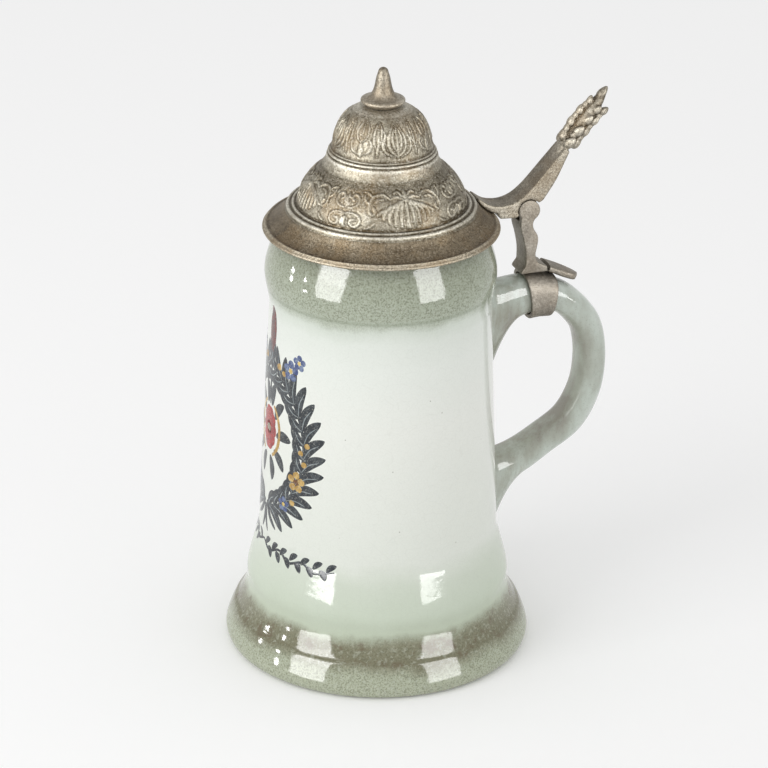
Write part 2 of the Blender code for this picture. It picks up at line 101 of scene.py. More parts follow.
def evenly(path, step):
    """The same path with its points an even step apart."""
    along = lengths_along(path)
    places = np.linspace(0.0, along[-1], max(3, int(round(along[-1] / step)) + 1))
    return np.stack([np.interp(places, along, column) for column in path.T], axis=1)


def arc(centre, radius, start, end, count=12):
    """Points on a circle, or an ellipse if radius is a pair; angles in degrees."""
    a = np.radians(np.linspace(start, end, count + 1))
    across, up = np.broadcast_to(radius, 2)
    return np.stack([centre[0] + across * np.cos(a), centre[1] + up * np.sin(a)], axis=1)


quarter = lengths_along(arc((0.0, 0.0), 1.0, 0.0, 90.0))[-1]
print(f"a quarter circle of radius 1 measures {quarter:.3f}")

# %% Grids to meshes
def grid_faces(rows, columns, wrap_columns=True, wrap_rows=False):
    """Corner numbers of a grid's quads, which face outwards when rows run down and columns
    run anticlockwise seen from above."""
    i = np.arange(rows if wrap_rows else rows - 1)[:, None]
    j = np.arange(columns if wrap_columns else columns - 1)[None, :]
    i, j = np.broadcast_arrays(i, j)
    below, beside = (i + 1) % rows, (j + 1) % columns
    corners_of = [i * columns + j, below * columns + j, below * columns + beside, i * columns + beside]
    return np.stack(corners_of, axis=-1).reshape(-1, 4)


def turned(profile, steps, push=None):
    """A (radius, height) profile from pole to pole turned round the Z axis. push moves each
    point along the profile's outward normal, which is its tangent turned a quarter."""
    ring = profile[1:-1]
    angle = np.arange(steps) * 2 * np.pi / steps
    if push is None:
        push = np.zeros((len(ring), 1))
    tangent = np.gradient(profile, axis=0)[1:-1]
    tangent /= np.linalg.norm(tangent, axis=1, keepdims=True) + 1e-12
    radius = ring[:, :1] - push * tangent[:, 1:]
    height = ring[:, 1:] + push * tangent[:, :1]
    radius, height, angle = np.broadcast_arrays(radius, height, angle)
    body = np.stack([radius * np.cos(angle), radius * np.sin(angle), height], axis=-1).reshape(-1, 3)
    poles = np.array([[0.0, 0.0, profile[0, 1]], [0.0, 0.0, profile[-1, 1]]])
    last = len(body) - steps
    j = np.arange(steps)
    beside = (j + 1) % steps
    first_fan = np.stack([np.full(steps, len(body)), j, beside], axis=1)
    last_fan = np.stack([last + j, np.full(steps, len(body) + 1), last + beside], axis=1)
    return np.concatenate([body, poles]), [grid_faces(len(ring), steps), first_fan, last_fan]


def tube(rows):
    """A grid of closed sections, rows x columns x 3, with a flat cap at each end."""
    count, columns = rows.shape[:2]
    first_cap = np.arange(columns)[None]
    last_cap = first_cap[:, ::-1] + (count - 1) * columns
    return rows.reshape(-1, 3), [grid_faces(count, columns)[:, ::-1], first_cap, last_cap]


def joined(shells):
    """Several (points, faces) shells as one."""
    points, faces, start = [], [], 0
    for shell_points, shell_faces in shells:
        points.append(shell_points)
        faces.extend(block + start for block in shell_faces)
        start += len(shell_points)
    return np.concatenate(points), faces


def make_mesh(name, shell, sharp_angle=40.0):
    """A named mesh object in metres, shaded round except at edges sharper than the angle."""
    points, faces = shell
    mesh = bpy.data.meshes.new(name)
    mesh.from_pydata((points * MM).tolist(), [], [row for block in faces for row in block.tolist()])
    mesh.shade_smooth()
    mesh.set_sharp_from_angle(angle=math.radians(sharp_angle))
    piece = bpy.data.objects.new(name, mesh)
    bpy.context.scene.collection.objects.link(piece)
    return piece


def face_outwards(piece):
    """Turns every face of each closed shell outwards."""
    work = bmesh.new()
    work.from_mesh(piece.data)
    bmesh.ops.recalc_face_normals(work, faces=work.faces)
    work.to_mesh(piece.data)
    work.free()
    return piece


print(f"a grid of 3 rings and 4 columns has {len(grid_faces(3, 4))} quads")

# %% Settling a finished piece
def settle(piece, material, body, slot, *nodes):
    """Gives a finished piece its material and its body, and hides the frame nodes it stands for; slot is not
    used.
    """
    piece.data.materials.clear()
    piece.data.materials.append(material)
    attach(piece, body)
    if nodes:
        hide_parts(*nodes)
    print(f"{piece.name}: {len(piece.data.polygons)} faces on body {body}")
    return piece


# %% [markdown]
# ## Wiring a finish
# Glaze and old pewter are made of layers: a ground, drifts of colour, specks and a worn edge.
# The helper below adds one node a call and hands back its socket, so that a finish reads like
# a recipe. Patterns sit on Object coordinates, which the mesh carries with it.

# %% A helper for finishes
GLAZE_IOR = 1.52


def shade(red, green, blue):
    """A colour written as it looks on a screen, 0 to 255, as the linear one Blender mixes."""
    c = np.array([red, green, blue]) / 255.0
    linear = np.where(c <= 0.04045, c / 12.92, ((c + 0.055) / 1.055) ** 2.4)
    return (*linear.tolist(), 1.0)


class Finish:
    """A material being wired. Each method adds a node and returns the socket with its result."""

    def __init__(self, name):
        self.material = bpy.data.materials.new(name)
        self.material.use_nodes = True
        self.tree = self.material.node_tree
        self.shader = self.tree.nodes["Principled BSDF"]
        self.place = self.add("ShaderNodeTexCoord").outputs["Object"]

    def add(self, kind, **settings):
        """A new node of the kind, with its settings."""
        node = self.tree.nodes.new(kind)
        for key, value in settings.items():
            setattr(node, key, value)
        return node

    def plug(self, socket, value):
        """Links a socket to another, or writes a plain value into it."""
        if isinstance(value, bpy.types.NodeSocket):
            self.tree.links.new(value, socket)
        else:
            socket.default_value = value

    def set(self, **inputs):
        """Fills the shader's sockets by name."""
        for key, value in inputs.items():
            self.plug(self.shader.inputs[key.replace("_", " ")], value)

    def math(self, operation, a, b=0.0):
        """One sum, product or other operation of two numbers."""
        node = self.add("ShaderNodeMath", operation=operation)
        self.plug(node.inputs[0], a)
        self.plug(node.inputs[1], b)
        return node.outputs[0]

    def noise(self, size, detail=3.0, roughness=0.55, stretch=(1.0, 1.0, 1.0), distortion=0.0):
        """Soft noise whose patches are about size millimetres across, drawn out by stretch."""
        mapping = self.add("ShaderNodeMapping")
        self.plug(mapping.inputs["Vector"], self.place)
        mapping.inputs["Scale"].default_value = [1.0 / (size * MM * s) for s in stretch]
        node = self.add("ShaderNodeTexNoise")
        self.plug(node.inputs["Vector"], mapping.outputs[0])
        node.inputs["Scale"].default_value = 1.0
        node.inputs["Detail"].default_value = detail
        node.inputs["Roughness"].default_value = roughness
        node.inputs["Distortion"].default_value = distortion
        return node.outputs["Fac"]

    def cells(self, size, feature="F1"):
        """Distance to the nearest of scattered points, or to the edge between two of them."""
        node = self.add("ShaderNodeTexVoronoi", feature=feature)
        self.plug(node.inputs["Vector"], self.place)
        node.inputs["Scale"].default_value = 1.0 / (size * MM)
        return node.outputs["Distance"]

    def along(self, axis):
        """One of the place's three numbers, in metres."""
        split = self.add("ShaderNodeSeparateXYZ")
        self.plug(split.inputs[0], self.place)
        return split.outputs[axis]

    def attribute(self, name):
        """A value that the mesh carries at each of its points."""
        return self.add("ShaderNodeAttribute", attribute_name=name).outputs["Fac"]

    def step(self, value, low, high):
        """0 below low and 1 above high, smooth between; low may be the larger."""
        node = self.add("ShaderNodeMapRange", interpolation_type="SMOOTHSTEP")
        self.plug(node.inputs["Value"], value)
        node.inputs["From Min"].default_value = low
        node.inputs["From Max"].default_value = high
        return node.outputs["Result"]

    def ramp(self, value, *stops):
        """Colours or greys at chosen values between 0 and 1."""
        node = self.add("ShaderNodeValToRGB")
        elements = node.color_ramp.elements
        while len(elements) < len(stops):
            elements.new(1.0)
        for element, (position, colour) in zip(elements, stops):
            element.position = position
            element.color = colour
        self.plug(node.inputs["Fac"], value)
        return node.outputs["Color"]

    def mix(self, amount, a, b):
        """Colour a where the amount is 0 and colour b where it is 1."""
        node = self.add("ShaderNodeMix", data_type="RGBA")
        self.plug(node.inputs["Factor"], amount)
        self.plug(node.inputs[6], a)
        self.plug(node.inputs[7], b)
        return node.outputs[2]

    def range(self, value, low, high):
        """A 0 to 1 value spread from low to high."""
        node = self.add("ShaderNodeMapRange")
        self.plug(node.inputs["Value"], value)
        node.inputs["To Min"].default_value = low
        node.inputs["To Max"].default_value = high
        return node.outputs["Result"]

    def bump(self, height, depth, normal=None):
        """Relief whose full height is depth millimetres."""
        node = self.add("ShaderNodeBump")
        node.inputs["Strength"].default_value = 1.0
        node.inputs["Distance"].default_value = depth * MM
        self.plug(node.inputs["Height"], height)
        if normal is not None:
            self.plug(node.inputs["Normal"], normal)
        return node.outputs["Normal"]


print("a finish is wired with", [name for name in vars(Finish) if name[0] != "_"])

# %% [markdown]
# ## Studio
# Two tall softboxes stand either side of the camera and show as pale windows in the glaze, and
# four small bulbs make the bright dots beside them. Lamps that only show in the glaze are kept
# out of the matte light, so their size and place can be set for the reflection alone. A wide,
# even sky does most of the lighting, so the stein sits on white with a faint shadow.

# %% Camera
CAMERA_DISTANCE = 1150.0
CAMERA_TURN = math.radians(-20.0)
CAMERA_RISE = math.radians(25.09)
CAMERA_ROLL = math.radians(0.76)
LOOK_HEIGHT = 80.0
AIM_RIGHT, AIM_UP = 1.64, 16.05
LENS = 151.04


def make_camera():
    """Stands off at a turn and a rise, looks a little above the waist, and leans by the roll."""
    turn, rise = CAMERA_TURN, CAMERA_RISE
    back = Vector((math.cos(rise) * math.sin(turn), -math.cos(rise) * math.cos(turn), math.sin(rise)))
    right = Vector((math.cos(turn), math.sin(turn), 0.0))
    up = back.cross(right)
    centre = Vector((0.0, 0.0, LOOK_HEIGHT))
    camera = bpy.data.objects.new("camera", bpy.data.cameras.new("camera"))
    camera.location = (centre + back * CAMERA_DISTANCE) * MM
    aim = (centre + right * AIM_RIGHT + up * AIM_UP) * MM
    facing = (aim - camera.location).to_track_quat("-Z", "Y")
    camera.rotation_mode = "QUATERNION"
    camera.rotation_quaternion = facing @ Matrix.Rotation(CAMERA_ROLL, 3, "Z").to_quaternion()
    camera.data.lens = LENS
    camera.data.clip_start, camera.data.clip_end = 0.05, 50.0
    bpy.context.scene.collection.objects.link(camera)
    bpy.context.scene.camera = camera
    print("camera at", [round(v, 3) for v in camera.location])


make_camera()

# %% Lamps
def softbox(name, azimuth, rise, distance, width, height, strength, lights_matte):
    """A rectangle of light that faces the stein. strength is its brightness where 1 is white."""
    light = bpy.data.lights.new(name, "AREA")
    light.shape = "RECTANGLE"
    light.size, light.size_y = width, height
    light.energy = strength * math.pi * width * height
    lamp = bpy.data.objects.new(name, light)
    turn, lift = math.radians(azimuth), math.radians(rise)
    out = Vector((math.cos(lift) * math.cos(turn), math.cos(lift) * math.sin(turn), math.sin(lift)))
    lamp.location = out * distance + Vector((0.0, 0.0, LOOK_HEIGHT * MM))
    lamp.rotation_mode = "QUATERNION"
    lamp.rotation_quaternion = out.to_track_quat("Z", "Y")
    lamp.visible_diffuse = lights_matte
    lamp.visible_camera = False
    bpy.context.scene.collection.objects.link(lamp)


REFLECTION_DISTANCE, KEY_DISTANCE = 1.3, 1.4
BULB_SIZE = 0.07
softbox("window_left", 199.5, 17.5, REFLECTION_DISTANCE, 0.66, 0.96, 10.0, False)
softbox("window_right", 300.5, 17.5, REFLECTION_DISTANCE, 0.60, 0.94, 8.5, False)
for bulb_turn, bulb_rise in ((153.0, 8.0), (154.0, 3.0), (172.0, 9.0), (174.0, 0.0)):
    softbox("bulb", bulb_turn, bulb_rise, REFLECTION_DISTANCE, BULB_SIZE, BULB_SIZE, 32.0, False)
softbox("key_left", 199.0, 32.0, KEY_DISTANCE, 0.8, 0.8, 2.4, True)
softbox("key_right", 302.0, 32.0, KEY_DISTANCE, 0.8, 0.8, 0.2, True)
print(f"{len(bpy.data.lights)} lamps")

# %% Sky and floor
SKY_STRENGTH = 0.78
FLOOR_RADIUS_M = 6.0
FLOOR_LIFT = 0.09


def make_sky():
    """An even white sky, which lights the stein from all round."""
    world = bpy.data.worlds.new("studio")
    bpy.context.scene.world = world
    world.use_nodes = True
    background = world.node_tree.nodes["Background"]
    background.inputs["Color"].default_value = (1.0, 1.0, 1.0, 1.0)
    background.inputs["Strength"].default_value = SKY_STRENGTH


def make_floor():
    """A pale floor far wider than the view. Seen directly it is lifted towards white, and its
    own matte colour keeps the soft shadow."""
    bpy.ops.mesh.primitive_circle_add(vertices=64, radius=FLOOR_RADIUS_M, fill_type="NGON")
    floor = bpy.context.object
    floor.name = "floor"
    paper = Finish("floor_paper")
    paper.set(Base_Color=shade(247, 247, 247), Roughness=1.0)
    paper.shader.inputs["Specular IOR Level"].default_value = 0.0
    rays = paper.add("ShaderNodeLightPath").outputs
    seen = paper.math("MAXIMUM", rays["Is Camera Ray"], rays["Is Glossy Ray"])
    seen = paper.math("MAXIMUM", seen, rays["Is Transmission Ray"])
    paper.shader.inputs["Emission Color"].default_value = (1.0, 1.0, 1.0, 1.0)
    paper.plug(paper.shader.inputs["Emission Strength"], paper.math("MULTIPLY", seen, FLOOR_LIFT))
    floor.data.materials.append(paper.material)


make_sky()
make_floor()
bpy.context.scene.view_settings.view_transform = "Standard"
print(f"sky at {SKY_STRENGTH}, floor lifted by {FLOOR_LIFT}")

# %% [markdown]
# ## The mug
# The mug is thrown or cast in one piece: a rolled foot, a hollow, a low bulge, a long taper, a
# neck and a second bulge under the lid. A lathe profile turned round the axis is the natural
# way, since every ring of it is round. Heights near the mouth are measured from the rim.

# %% Mug profile
MOUTH_RADIUS = 34.3
RIM_OUTER = 36.5
RIM_ROUND = 1.4
FLOOR_Z = 9.0
FLOOR_RADIUS = 39.6
FLOOR_CORNER = 8.0
FOOT_FLAT = 51.6
RECESS_RADIUS = 43.0
RECESS_DEPTH = 1.2

upper_bulge = [(RIM_OUTER, RIM_Z - RIM_ROUND), (37.3, RIM_Z - 3.0), (38.3, RIM_Z - 5.2),
               (39.45, RIM_Z - 8.4), (40.35, RIM_Z - 11.8), (40.7, RIM_Z - 15.0), (40.4, RIM_Z - 18.0),
               (39.85, RIM_Z - 21.0), (39.3, RIM_Z - 24.0), (39.05, RIM_Z - 27.0), (39.2, RIM_Z - 30.0)]
long_taper = [(40.05, 108.0), (41.0, 86.5), (41.9, 66.0), (42.35, 56.0), (42.75, 48.0)]
lower_bulge = [(43.0, 43.8), (43.75, 40.9), (45.0, 36.3), (46.25, 31.7), (46.95, 28.6), (47.15, 26.2),
               (47.0, 23.6)]
foot_slope = [(47.3, 21.4), (48.05, 18.8), (49.1, 16.2), (50.3, 13.8), (50.95, 12.9), (51.75, 12.2)]
foot_roll = [(52.8, 10.2), (53.8, 7.8), (54.6, 5.6), (FOOT_RADIUS, 3.6), (54.5, 1.6), (53.2, 0.45),
             (FOOT_FLAT, 0.0)]
outer_wall = curve_through(upper_bulge + long_taper + lower_bulge + foot_slope + foot_roll)


def wall_radius(height):
    """Outer radius of the mug at a height, read off its profile."""
    return np.interp(height, outer_wall[::-1, 1], outer_wall[::-1, 0])


def mug_profile():
    """From the middle of the floor, up the inside, over the rim and down to the recess."""
    corner = arc((FLOOR_RADIUS - FLOOR_CORNER, FLOOR_Z + FLOOR_CORNER), FLOOR_CORNER, -90.0, 0.0)
    inside = curve_through([corner[-1], (39.4, 40.5), (36.9, 90.0), (35.1, RIM_Z - 30.0),
                            (MOUTH_RADIUS, RIM_Z - 12.0), (MOUTH_RADIUS, RIM_Z - RIM_ROUND)])
    half = (RIM_OUTER - MOUTH_RADIUS) / 2
    rim = arc((MOUTH_RADIUS + half, RIM_Z - RIM_ROUND), (half, RIM_ROUND), 180.0, 0.0)
    under = np.array([(FOOT_FLAT, 0.0), (RECESS_RADIUS + 1.0, 0.0), (RECESS_RADIUS, RECESS_DEPTH),
                      (0.0, RECESS_DEPTH)])
    inner = evenly(np.concatenate([[(0.0, FLOOR_Z)], corner, inside[1:]]), 2.0)
    outer = evenly(outer_wall, 0.62)
    return np.concatenate([inner[:-1], rim, outer[1:-1], under])


MUG_STEPS = 256
mug_points, mug_faces = turned(mug_profile(), MUG_STEPS)
mug = make_mesh("stoneware_mug", (mug_points, mug_faces))
print(f"mug profile: {len(outer_wall)} points down the outside, {len(mug_points)} points in all")

# %% [markdown]
# The glaze is off-white with a breath of green. A sage glaze was sprayed round the upper bulge
# and a browner one round the foot, so both fade out in a cloud of fine specks. A dark line
# gathers in the groove under the upper bulge. A painted image could hold these bands, but a
# ramp on the height up the mug stays sharp at any size, and noise breaks up its edges.

# %% Stoneware glaze
def stoneware_glaze():
    """A ramp of ground colours over the height as a share of the rim's, moved by a slow drift;
    specks, pale clouds, brown streaks, the line, crazing and pits are mixed over it in turn."""
    glaze = Finish("stoneware_glaze")
    height = glaze.math("DIVIDE", glaze.along("Z"), RIM_Z * MM)
    drift = glaze.math("MULTIPLY", glaze.math("SUBTRACT", glaze.noise(16.0), 0.5), 0.05)
    level = glaze.math("ADD", height, drift)
    ground = glaze.ramp(level, (0.0, shade(186, 192, 169)), (0.05, shade(180, 186, 163)),
                        (0.078, shade(126, 123, 98)), (0.112, shade(138, 137, 113)),
                        (0.140, shade(194, 204, 183)), (0.185, shade(205, 215, 197)),
                        (0.245, shade(212, 220, 205)), (0.30, shade(230, 234, 225)),
                        (0.62, shade(239, 241, 234)), (0.76, shade(236, 240, 233)),
                        (0.820, shade(230, 235, 227)), (0.852, shade(218, 225, 214)),
                        (0.868, shade(192, 200, 184)), (0.885, shade(178, 186, 167)),
                        (1.0, shade(164, 170, 149)))
    sprayed = glaze.math("MAXIMUM", glaze.step(level, 0.84, 0.90), glaze.step(level, 0.145, 0.10))
    speck = glaze.step(glaze.noise(0.62, 3.0, 0.75), 0.44, 0.62)
    mottled = glaze.mix(glaze.math("MULTIPLY", speck, glaze.range(sprayed, 0.03, 0.58)),
                        ground, shade(96, 98, 74))
    pale = glaze.step(glaze.noise(1.3, 2.0, 0.6, distortion=0.5), 0.52, 0.68)
    cloudy = glaze.mix(glaze.math("MULTIPLY", pale, glaze.range(sprayed, 0.03, 0.3)),
                       mottled, shade(204, 210, 194))
    patchy = glaze.step(glaze.noise(5.0, 3.0, 0.6), 0.52, 0.68)
    foot_band = glaze.math("MULTIPLY", glaze.step(level, 0.145, 0.115), glaze.step(level, 0.06, 0.085))
    brown = glaze.math("MULTIPLY", patchy, foot_band)
    foot = glaze.mix(glaze.math("MULTIPLY", brown, 0.6), cloudy, shade(104, 88, 66))
    line = glaze.math("MULTIPLY", glaze.step(height, 0.868, 0.874), glaze.step(height, 0.882, 0.876))
    lined = glaze.mix(glaze.math("MULTIPLY", line, 0.35), foot, shade(128, 138, 116))
    craze = glaze.step(glaze.cells(3.2, "DISTANCE_TO_EDGE"), 0.035, 0.0)
    crazed = glaze.mix(glaze.math("MULTIPLY", craze, 0.05), lined, shade(150, 150, 135))
    pit = glaze.step(glaze.cells(7.0), 0.045, 0.02)
    pitted = glaze.mix(glaze.math("MULTIPLY", pit, 0.55), crazed, shade(120, 116, 92))
    orange_peel = glaze.noise(2.6, 2.0, 0.5)
    glaze.set(Base_Color=pitted, Roughness=0.07, IOR=GLAZE_IOR, Normal=glaze.bump(orange_peel, 0.03))
    return glaze.material


settle(mug, stoneware_glaze(), "mug", "stoneware_glaze", "mug_body")

# %% [markdown]
# ## The handle
# A pulled handle is a strap of clay, oval in section, bent into a loop and luted on wet. It
# could be a curve with a bevel, but its thickness changes and its roots spread into the wall,
# so sections are carried along the loop instead. Near the wall each section flares, and its
# underside runs down the mug in a tongue, as soft clay does when it is pressed on.

# %% Loop of the handle
ARM_Z = RIM_Z - 31.7
HALF_WIDE = 6.8
HALF_THICK = 5.5
REACH_X, REACH_Z = 80.6, 98.0
LOW_Z = 60.5
SECTION_SPACING = 0.8

handle_stations = [
    (37.6, ARM_Z - 3.3, 8.5, 7.7), (44.0, ARM_Z - 1.8, 8.2, 7.2), (53.0, ARM_Z + 0.1, 7.3, HALF_WIDE),
    (61.0, ARM_Z - 0.3, 6.3, HALF_WIDE), (REACH_X - 12.3, ARM_Z - 2.8, 5.6, HALF_WIDE),
    (REACH_X - 5.6, ARM_Z - 9.1, HALF_THICK, HALF_WIDE), (REACH_X - 1.6, ARM_Z - 16.1, HALF_THICK, HALF_WIDE),
    (REACH_X, REACH_Z, HALF_THICK, HALF_WIDE), (REACH_X - 1.6, REACH_Z - 12.4, HALF_THICK, HALF_WIDE),
    (REACH_X - 7.6, REACH_Z - 23.5, HALF_THICK, HALF_WIDE), (REACH_X - 18.3, LOW_Z + 6.6, 5.4, HALF_WIDE),
    (53.5, LOW_Z + 1.4, 5.8, 7.0), (44.0, LOW_Z - 2.4, 6.4, 7.4), (40.4, LOW_Z - 3.5, 6.7, 7.6)]
handle_line = evenly(curve_through(handle_stations), SECTION_SPACING)
print(f"the loop is {lengths_along(handle_line)[-1]:.0f} mm long")

# %% Oval sections
OVAL_COLUMNS, OVAL_POWER = 72, 2.4


def oval(columns, power):
    """Across and sideways shares of a superellipse: cosine and sine raised to 2 / power."""
    a = np.arange(columns) * 2 * np.pi / columns
    c, s = np.cos(a), np.sin(a)
    return np.sign(c) * np.abs(c) ** (2 / power), np.sign(s) * np.abs(s) ** (2 / power)


def sections(line, columns=OVAL_COLUMNS, power=OVAL_POWER):
    """Oval sections square to a line of (x, z, half thickness, half width) in the XZ plane."""
    along = np.gradient(line[:, :2], axis=0)
    along /= np.linalg.norm(along, axis=1, keepdims=True)
    across, sideways = oval(columns, power)
    thick, wide = line[:, 2:3], line[:, 3:4]
    x = line[:, :1] - along[:, 1:] * across * thick
    z = line[:, 1:2] + along[:, :1] * across * thick
    return np.stack([x, np.broadcast_to(sideways * wide, x.shape), z], axis=-1)


print("plain sections:", sections(handle_line).shape)

# %% Pressed-on roots
FLARE, FLARE_FADE = 1.5, 2.2
TONGUE_UPPER, TONGUE_LOWER = 18.5, 17.0
TONGUE_THICK, TONGUE_DEPTH = 1.8, 11.0
TONGUE_PINCH = 0.72


def handle_rows():
    """The plain sections, flared by a fading exponential of the distance to the wall, with the
    lower side of each root drawn down by (1 - distance / depth) squared and pinched to a point."""
    rows = sections(handle_line)
    centre = np.stack([handle_line[:, 0], np.zeros(len(handle_line)), handle_line[:, 1]], axis=1)[:, None]
    offset = rows - centre
    out = np.hypot(rows[..., 0], rows[..., 1]) - wall_radius(rows[..., 2])
    size = np.linalg.norm(offset, axis=-1, keepdims=True)
    flare = FLARE * np.exp(-np.maximum(out, 0.0) / FLARE_FADE)
    rows = rows + offset / size * flare[..., None]
    tongue = np.where(handle_line[:, 1] > REACH_Z, TONGUE_UPPER, TONGUE_LOWER)[:, None]
    share = np.clip(1.0 - (out - TONGUE_THICK) / TONGUE_DEPTH, 0.0, 1.0) ** 2
    under = np.clip(-offset[..., 2] / handle_line[:, None, 2], 0.0, 1.0) ** 2
    rows[..., 2] -= tongue * share * under
    rows[..., 1] *= 1.0 - TONGUE_PINCH * (share * under) ** 1.5
    return rows


handle = face_outwards(make_mesh("pulled_handle", tube(handle_rows()), 60.0))
print(f"handle: {len(handle_line)} sections of {OVAL_COLUMNS} points")

# %% [markdown]
# ## The handle's glaze
# The outside of the loop is painted paler and the inside greyer. This is painted light and shade:
# the outer side catches the lamps and the inner side is shaded. The mesh carries that side as a
# value, 1 outside and 0 inside, since no plain coordinate could tell the two sides of a bent strap
# apart.

# %% Handle glaze
def mark_points(piece, name, values):
    """Stores one number for each point of the piece, under a name that a finish can read."""
    marked = piece.data.attributes.new(name, "FLOAT", "POINT")
    marked.data.foreach_set("value", np.broadcast_to(values, len(piece.data.vertices)).astype(np.float32))


# Painted light and shade: the outer value makes the outer side of the loop paler, as if lit, and the inner
# side greyer, as if shaded.
painted_lit_side = oval(OVAL_COLUMNS, OVAL_POWER)[0] * 0.5 + 0.5
mark_points(handle, "outer", np.tile(painted_lit_side, len(handle_line)))


def handle_glaze():
    """Pale to grey by clouds and by the outer value, which paints light on the outer side and shade on the
    inner side; then toasted at the roots and specked.
    """
    glaze = Finish("green_glaze")
    cloud = glaze.noise(9.0, 4.0, 0.6, stretch=(1.0, 1.0, 2.0))
    streaky = glaze.math("SUBTRACT", glaze.math("MULTIPLY", cloud, 1.1), 0.27)
    # The clouds are real streaks in the glaze. The outer value adds painted light on the outer side and
    # painted shade inside.
    streaks_and_painted_light = glaze.math("ADD", streaky, glaze.math("MULTIPLY", glaze.attribute("outer"), 0.46))
    ground = glaze.ramp(streaks_and_painted_light, (0.18, shade(154, 151, 141)), (0.40, shade(176, 180, 168)),
                        (0.62, shade(196, 204, 194)), (0.85, shade(214, 221, 213)))
    root = glaze.step(glaze.along("X"), 0.062, 0.050)
    streak = glaze.step(glaze.noise(3.0, 4.0, 0.65, stretch=(1.0, 1.0, 5.0)), 0.40, 0.66)
    toasted = glaze.mix(glaze.math("MULTIPLY", streak, glaze.range(root, 0.04, 0.30)),
                        ground, shade(136, 126, 102))
    speck = glaze.step(glaze.noise(0.6, 2.0, 0.7), 0.58, 0.70)
    specked = glaze.mix(glaze.math("MULTIPLY", speck, 0.25), toasted, shade(104, 104, 84))
    ripple = glaze.bump(glaze.noise(2.6, 2.0), 0.04)
    glaze.set(Base_Color=specked, Roughness=0.08, IOR=GLAZE_IOR, Normal=ripple)
    return glaze.material


settle(handle, handle_glaze(), "mug", "green_glaze", "handle")

# %% [markdown]
# ## Old pewter
# The lid is cast, blackened with an acid wash and rubbed back, so hollows stay brown and the
# ridges shine. Each fine mesh carries a "relief" value, 0 in a hollow and 1 on a ridge, and the
# finish reads it. Fine noise adds casting grain and the spots that tarnish leaves.

# %% Pewter finishes
def rubbed_pewter(name, hollow, middle, ridge, spotted=1.0):
    """Pewter whose colour goes from hollow to ridge by the sum of relief, 0.7 clouds and 0.8
    grain; tarnish, dark spots and bright glints are mixed over it, weaker where spotted is."""
    pewter = Finish(name)
    cloud = pewter.noise(8.0, 4.0, 0.6)
    grain = pewter.noise(0.9, 3.0, 0.7)
    fine = pewter.noise(0.42, 2.0, 0.7)
    lean = pewter.math("ADD", pewter.math("MULTIPLY", cloud, 0.7), pewter.math("MULTIPLY", grain, 0.8))
    level = pewter.math("ADD", pewter.math("SUBTRACT", lean, 0.75), pewter.attribute("relief"))
    colour = pewter.ramp(level, (0.10, hollow), (0.46, middle), (0.84, ridge))
    cover = pewter.range(pewter.step(cloud, 0.36, 0.62), 0.35, 1.0)
    tarnish = pewter.step(pewter.noise(13.0, 3.0, 0.6), 0.48, 0.62)
    colour = pewter.mix(pewter.math("MULTIPLY", tarnish, 0.36 * spotted), colour, shade(118, 98, 70))
    spot = pewter.math("MULTIPLY", pewter.step(pewter.noise(0.6, 3.0, 0.75), 0.48, 0.60), cover)
    colour = pewter.mix(pewter.math("MULTIPLY", spot, 0.74 * spotted), colour, hollow)
    glint = pewter.math("MULTIPLY", pewter.step(fine, 0.56, 0.70), 0.55 * spotted)
    colour = pewter.mix(glint, colour, ridge)
    rough = pewter.range(grain, 0.42, 0.68)
    hammered = pewter.bump(pewter.noise(3.5, 3.0), 0.12)
    normal = pewter.bump(fine, 0.07, pewter.bump(grain, 0.16, hammered))
    pewter.set(Base_Color=colour, Metallic=1.0, Roughness=rough, Normal=normal)
    return pewter.material


antique_pewter = rubbed_pewter("antique_pewter", shade(70, 61, 46), shade(148, 142, 127),
                               shade(210, 206, 194))
brim_pewter = rubbed_pewter("brim_pewter", shade(62, 52, 40), shade(124, 113, 95), shade(178, 170, 153))
plain_pewter = rubbed_pewter("plain_pewter", shade(98, 92, 82), shade(140, 134, 124),
                             shade(186, 181, 170), 0.4)
cast_pewter = rubbed_pewter("cast_pewter", shade(76, 68, 56), shade(142, 135, 122),
                            shade(196, 190, 176), 0.8)
print("pewters:", [finish.name for finish in (antique_pewter, brim_pewter, plain_pewter, cast_pewter)])

# %% [markdown]
# ## The lid
# The lid is cast in a mould that carries its ornament: a fan leaf between scrolls, four times
# round the lower dome, and tall leaves round the upper one. Such relief could be painted as a
# bump, but then its edge would stay smooth from the side. Here each stroke of the ornament is a
# curve, and a point's height comes from its distance to the nearest stroke.

# %% Lid profile
LID_STEPS = 440
RING_SPACING = 0.36
DOME_FOOT_Z = SEAT_Z + 9.6
BAND_LOW_Z = SEAT_Z + 24.6
BEAD_Z = SEAT_Z + 28.6
upper_dome = [(6.5, LID_TOP), (8.6, LID_TOP - 0.35), (11.3, LID_TOP - 1.7), (13.1, LID_TOP - 3.3),
              (14.6, LID_TOP - 5.2), (15.8, LID_TOP - 7.6), (16.7, LID_TOP - 10.3), (17.3, LID_TOP - 12.8),
              (17.55, LID_TOP - 14.0)]
dome_band = [(19.2, BEAD_Z - 1.0), (19.5, BEAD_Z - 2.4), (19.9, BAND_LOW_Z + 0.6), (20.6, BAND_LOW_Z - 0.6)]
lower_dome = [(22.5, SEAT_Z + 22.0), (24.5, SEAT_Z + 20.0), (26.3, SEAT_Z + 17.9), (27.7, SEAT_Z + 15.6),
              (28.8, SEAT_Z + 13.2), (29.4, SEAT_Z + 11.2), (29.7, DOME_FOOT_Z)]
brim_slope = [(34.0, SEAT_Z + 7.0), (35.6, SEAT_Z + 5.0), (37.7, SEAT_Z + 3.15), (39.6, SEAT_Z + 2.0)]


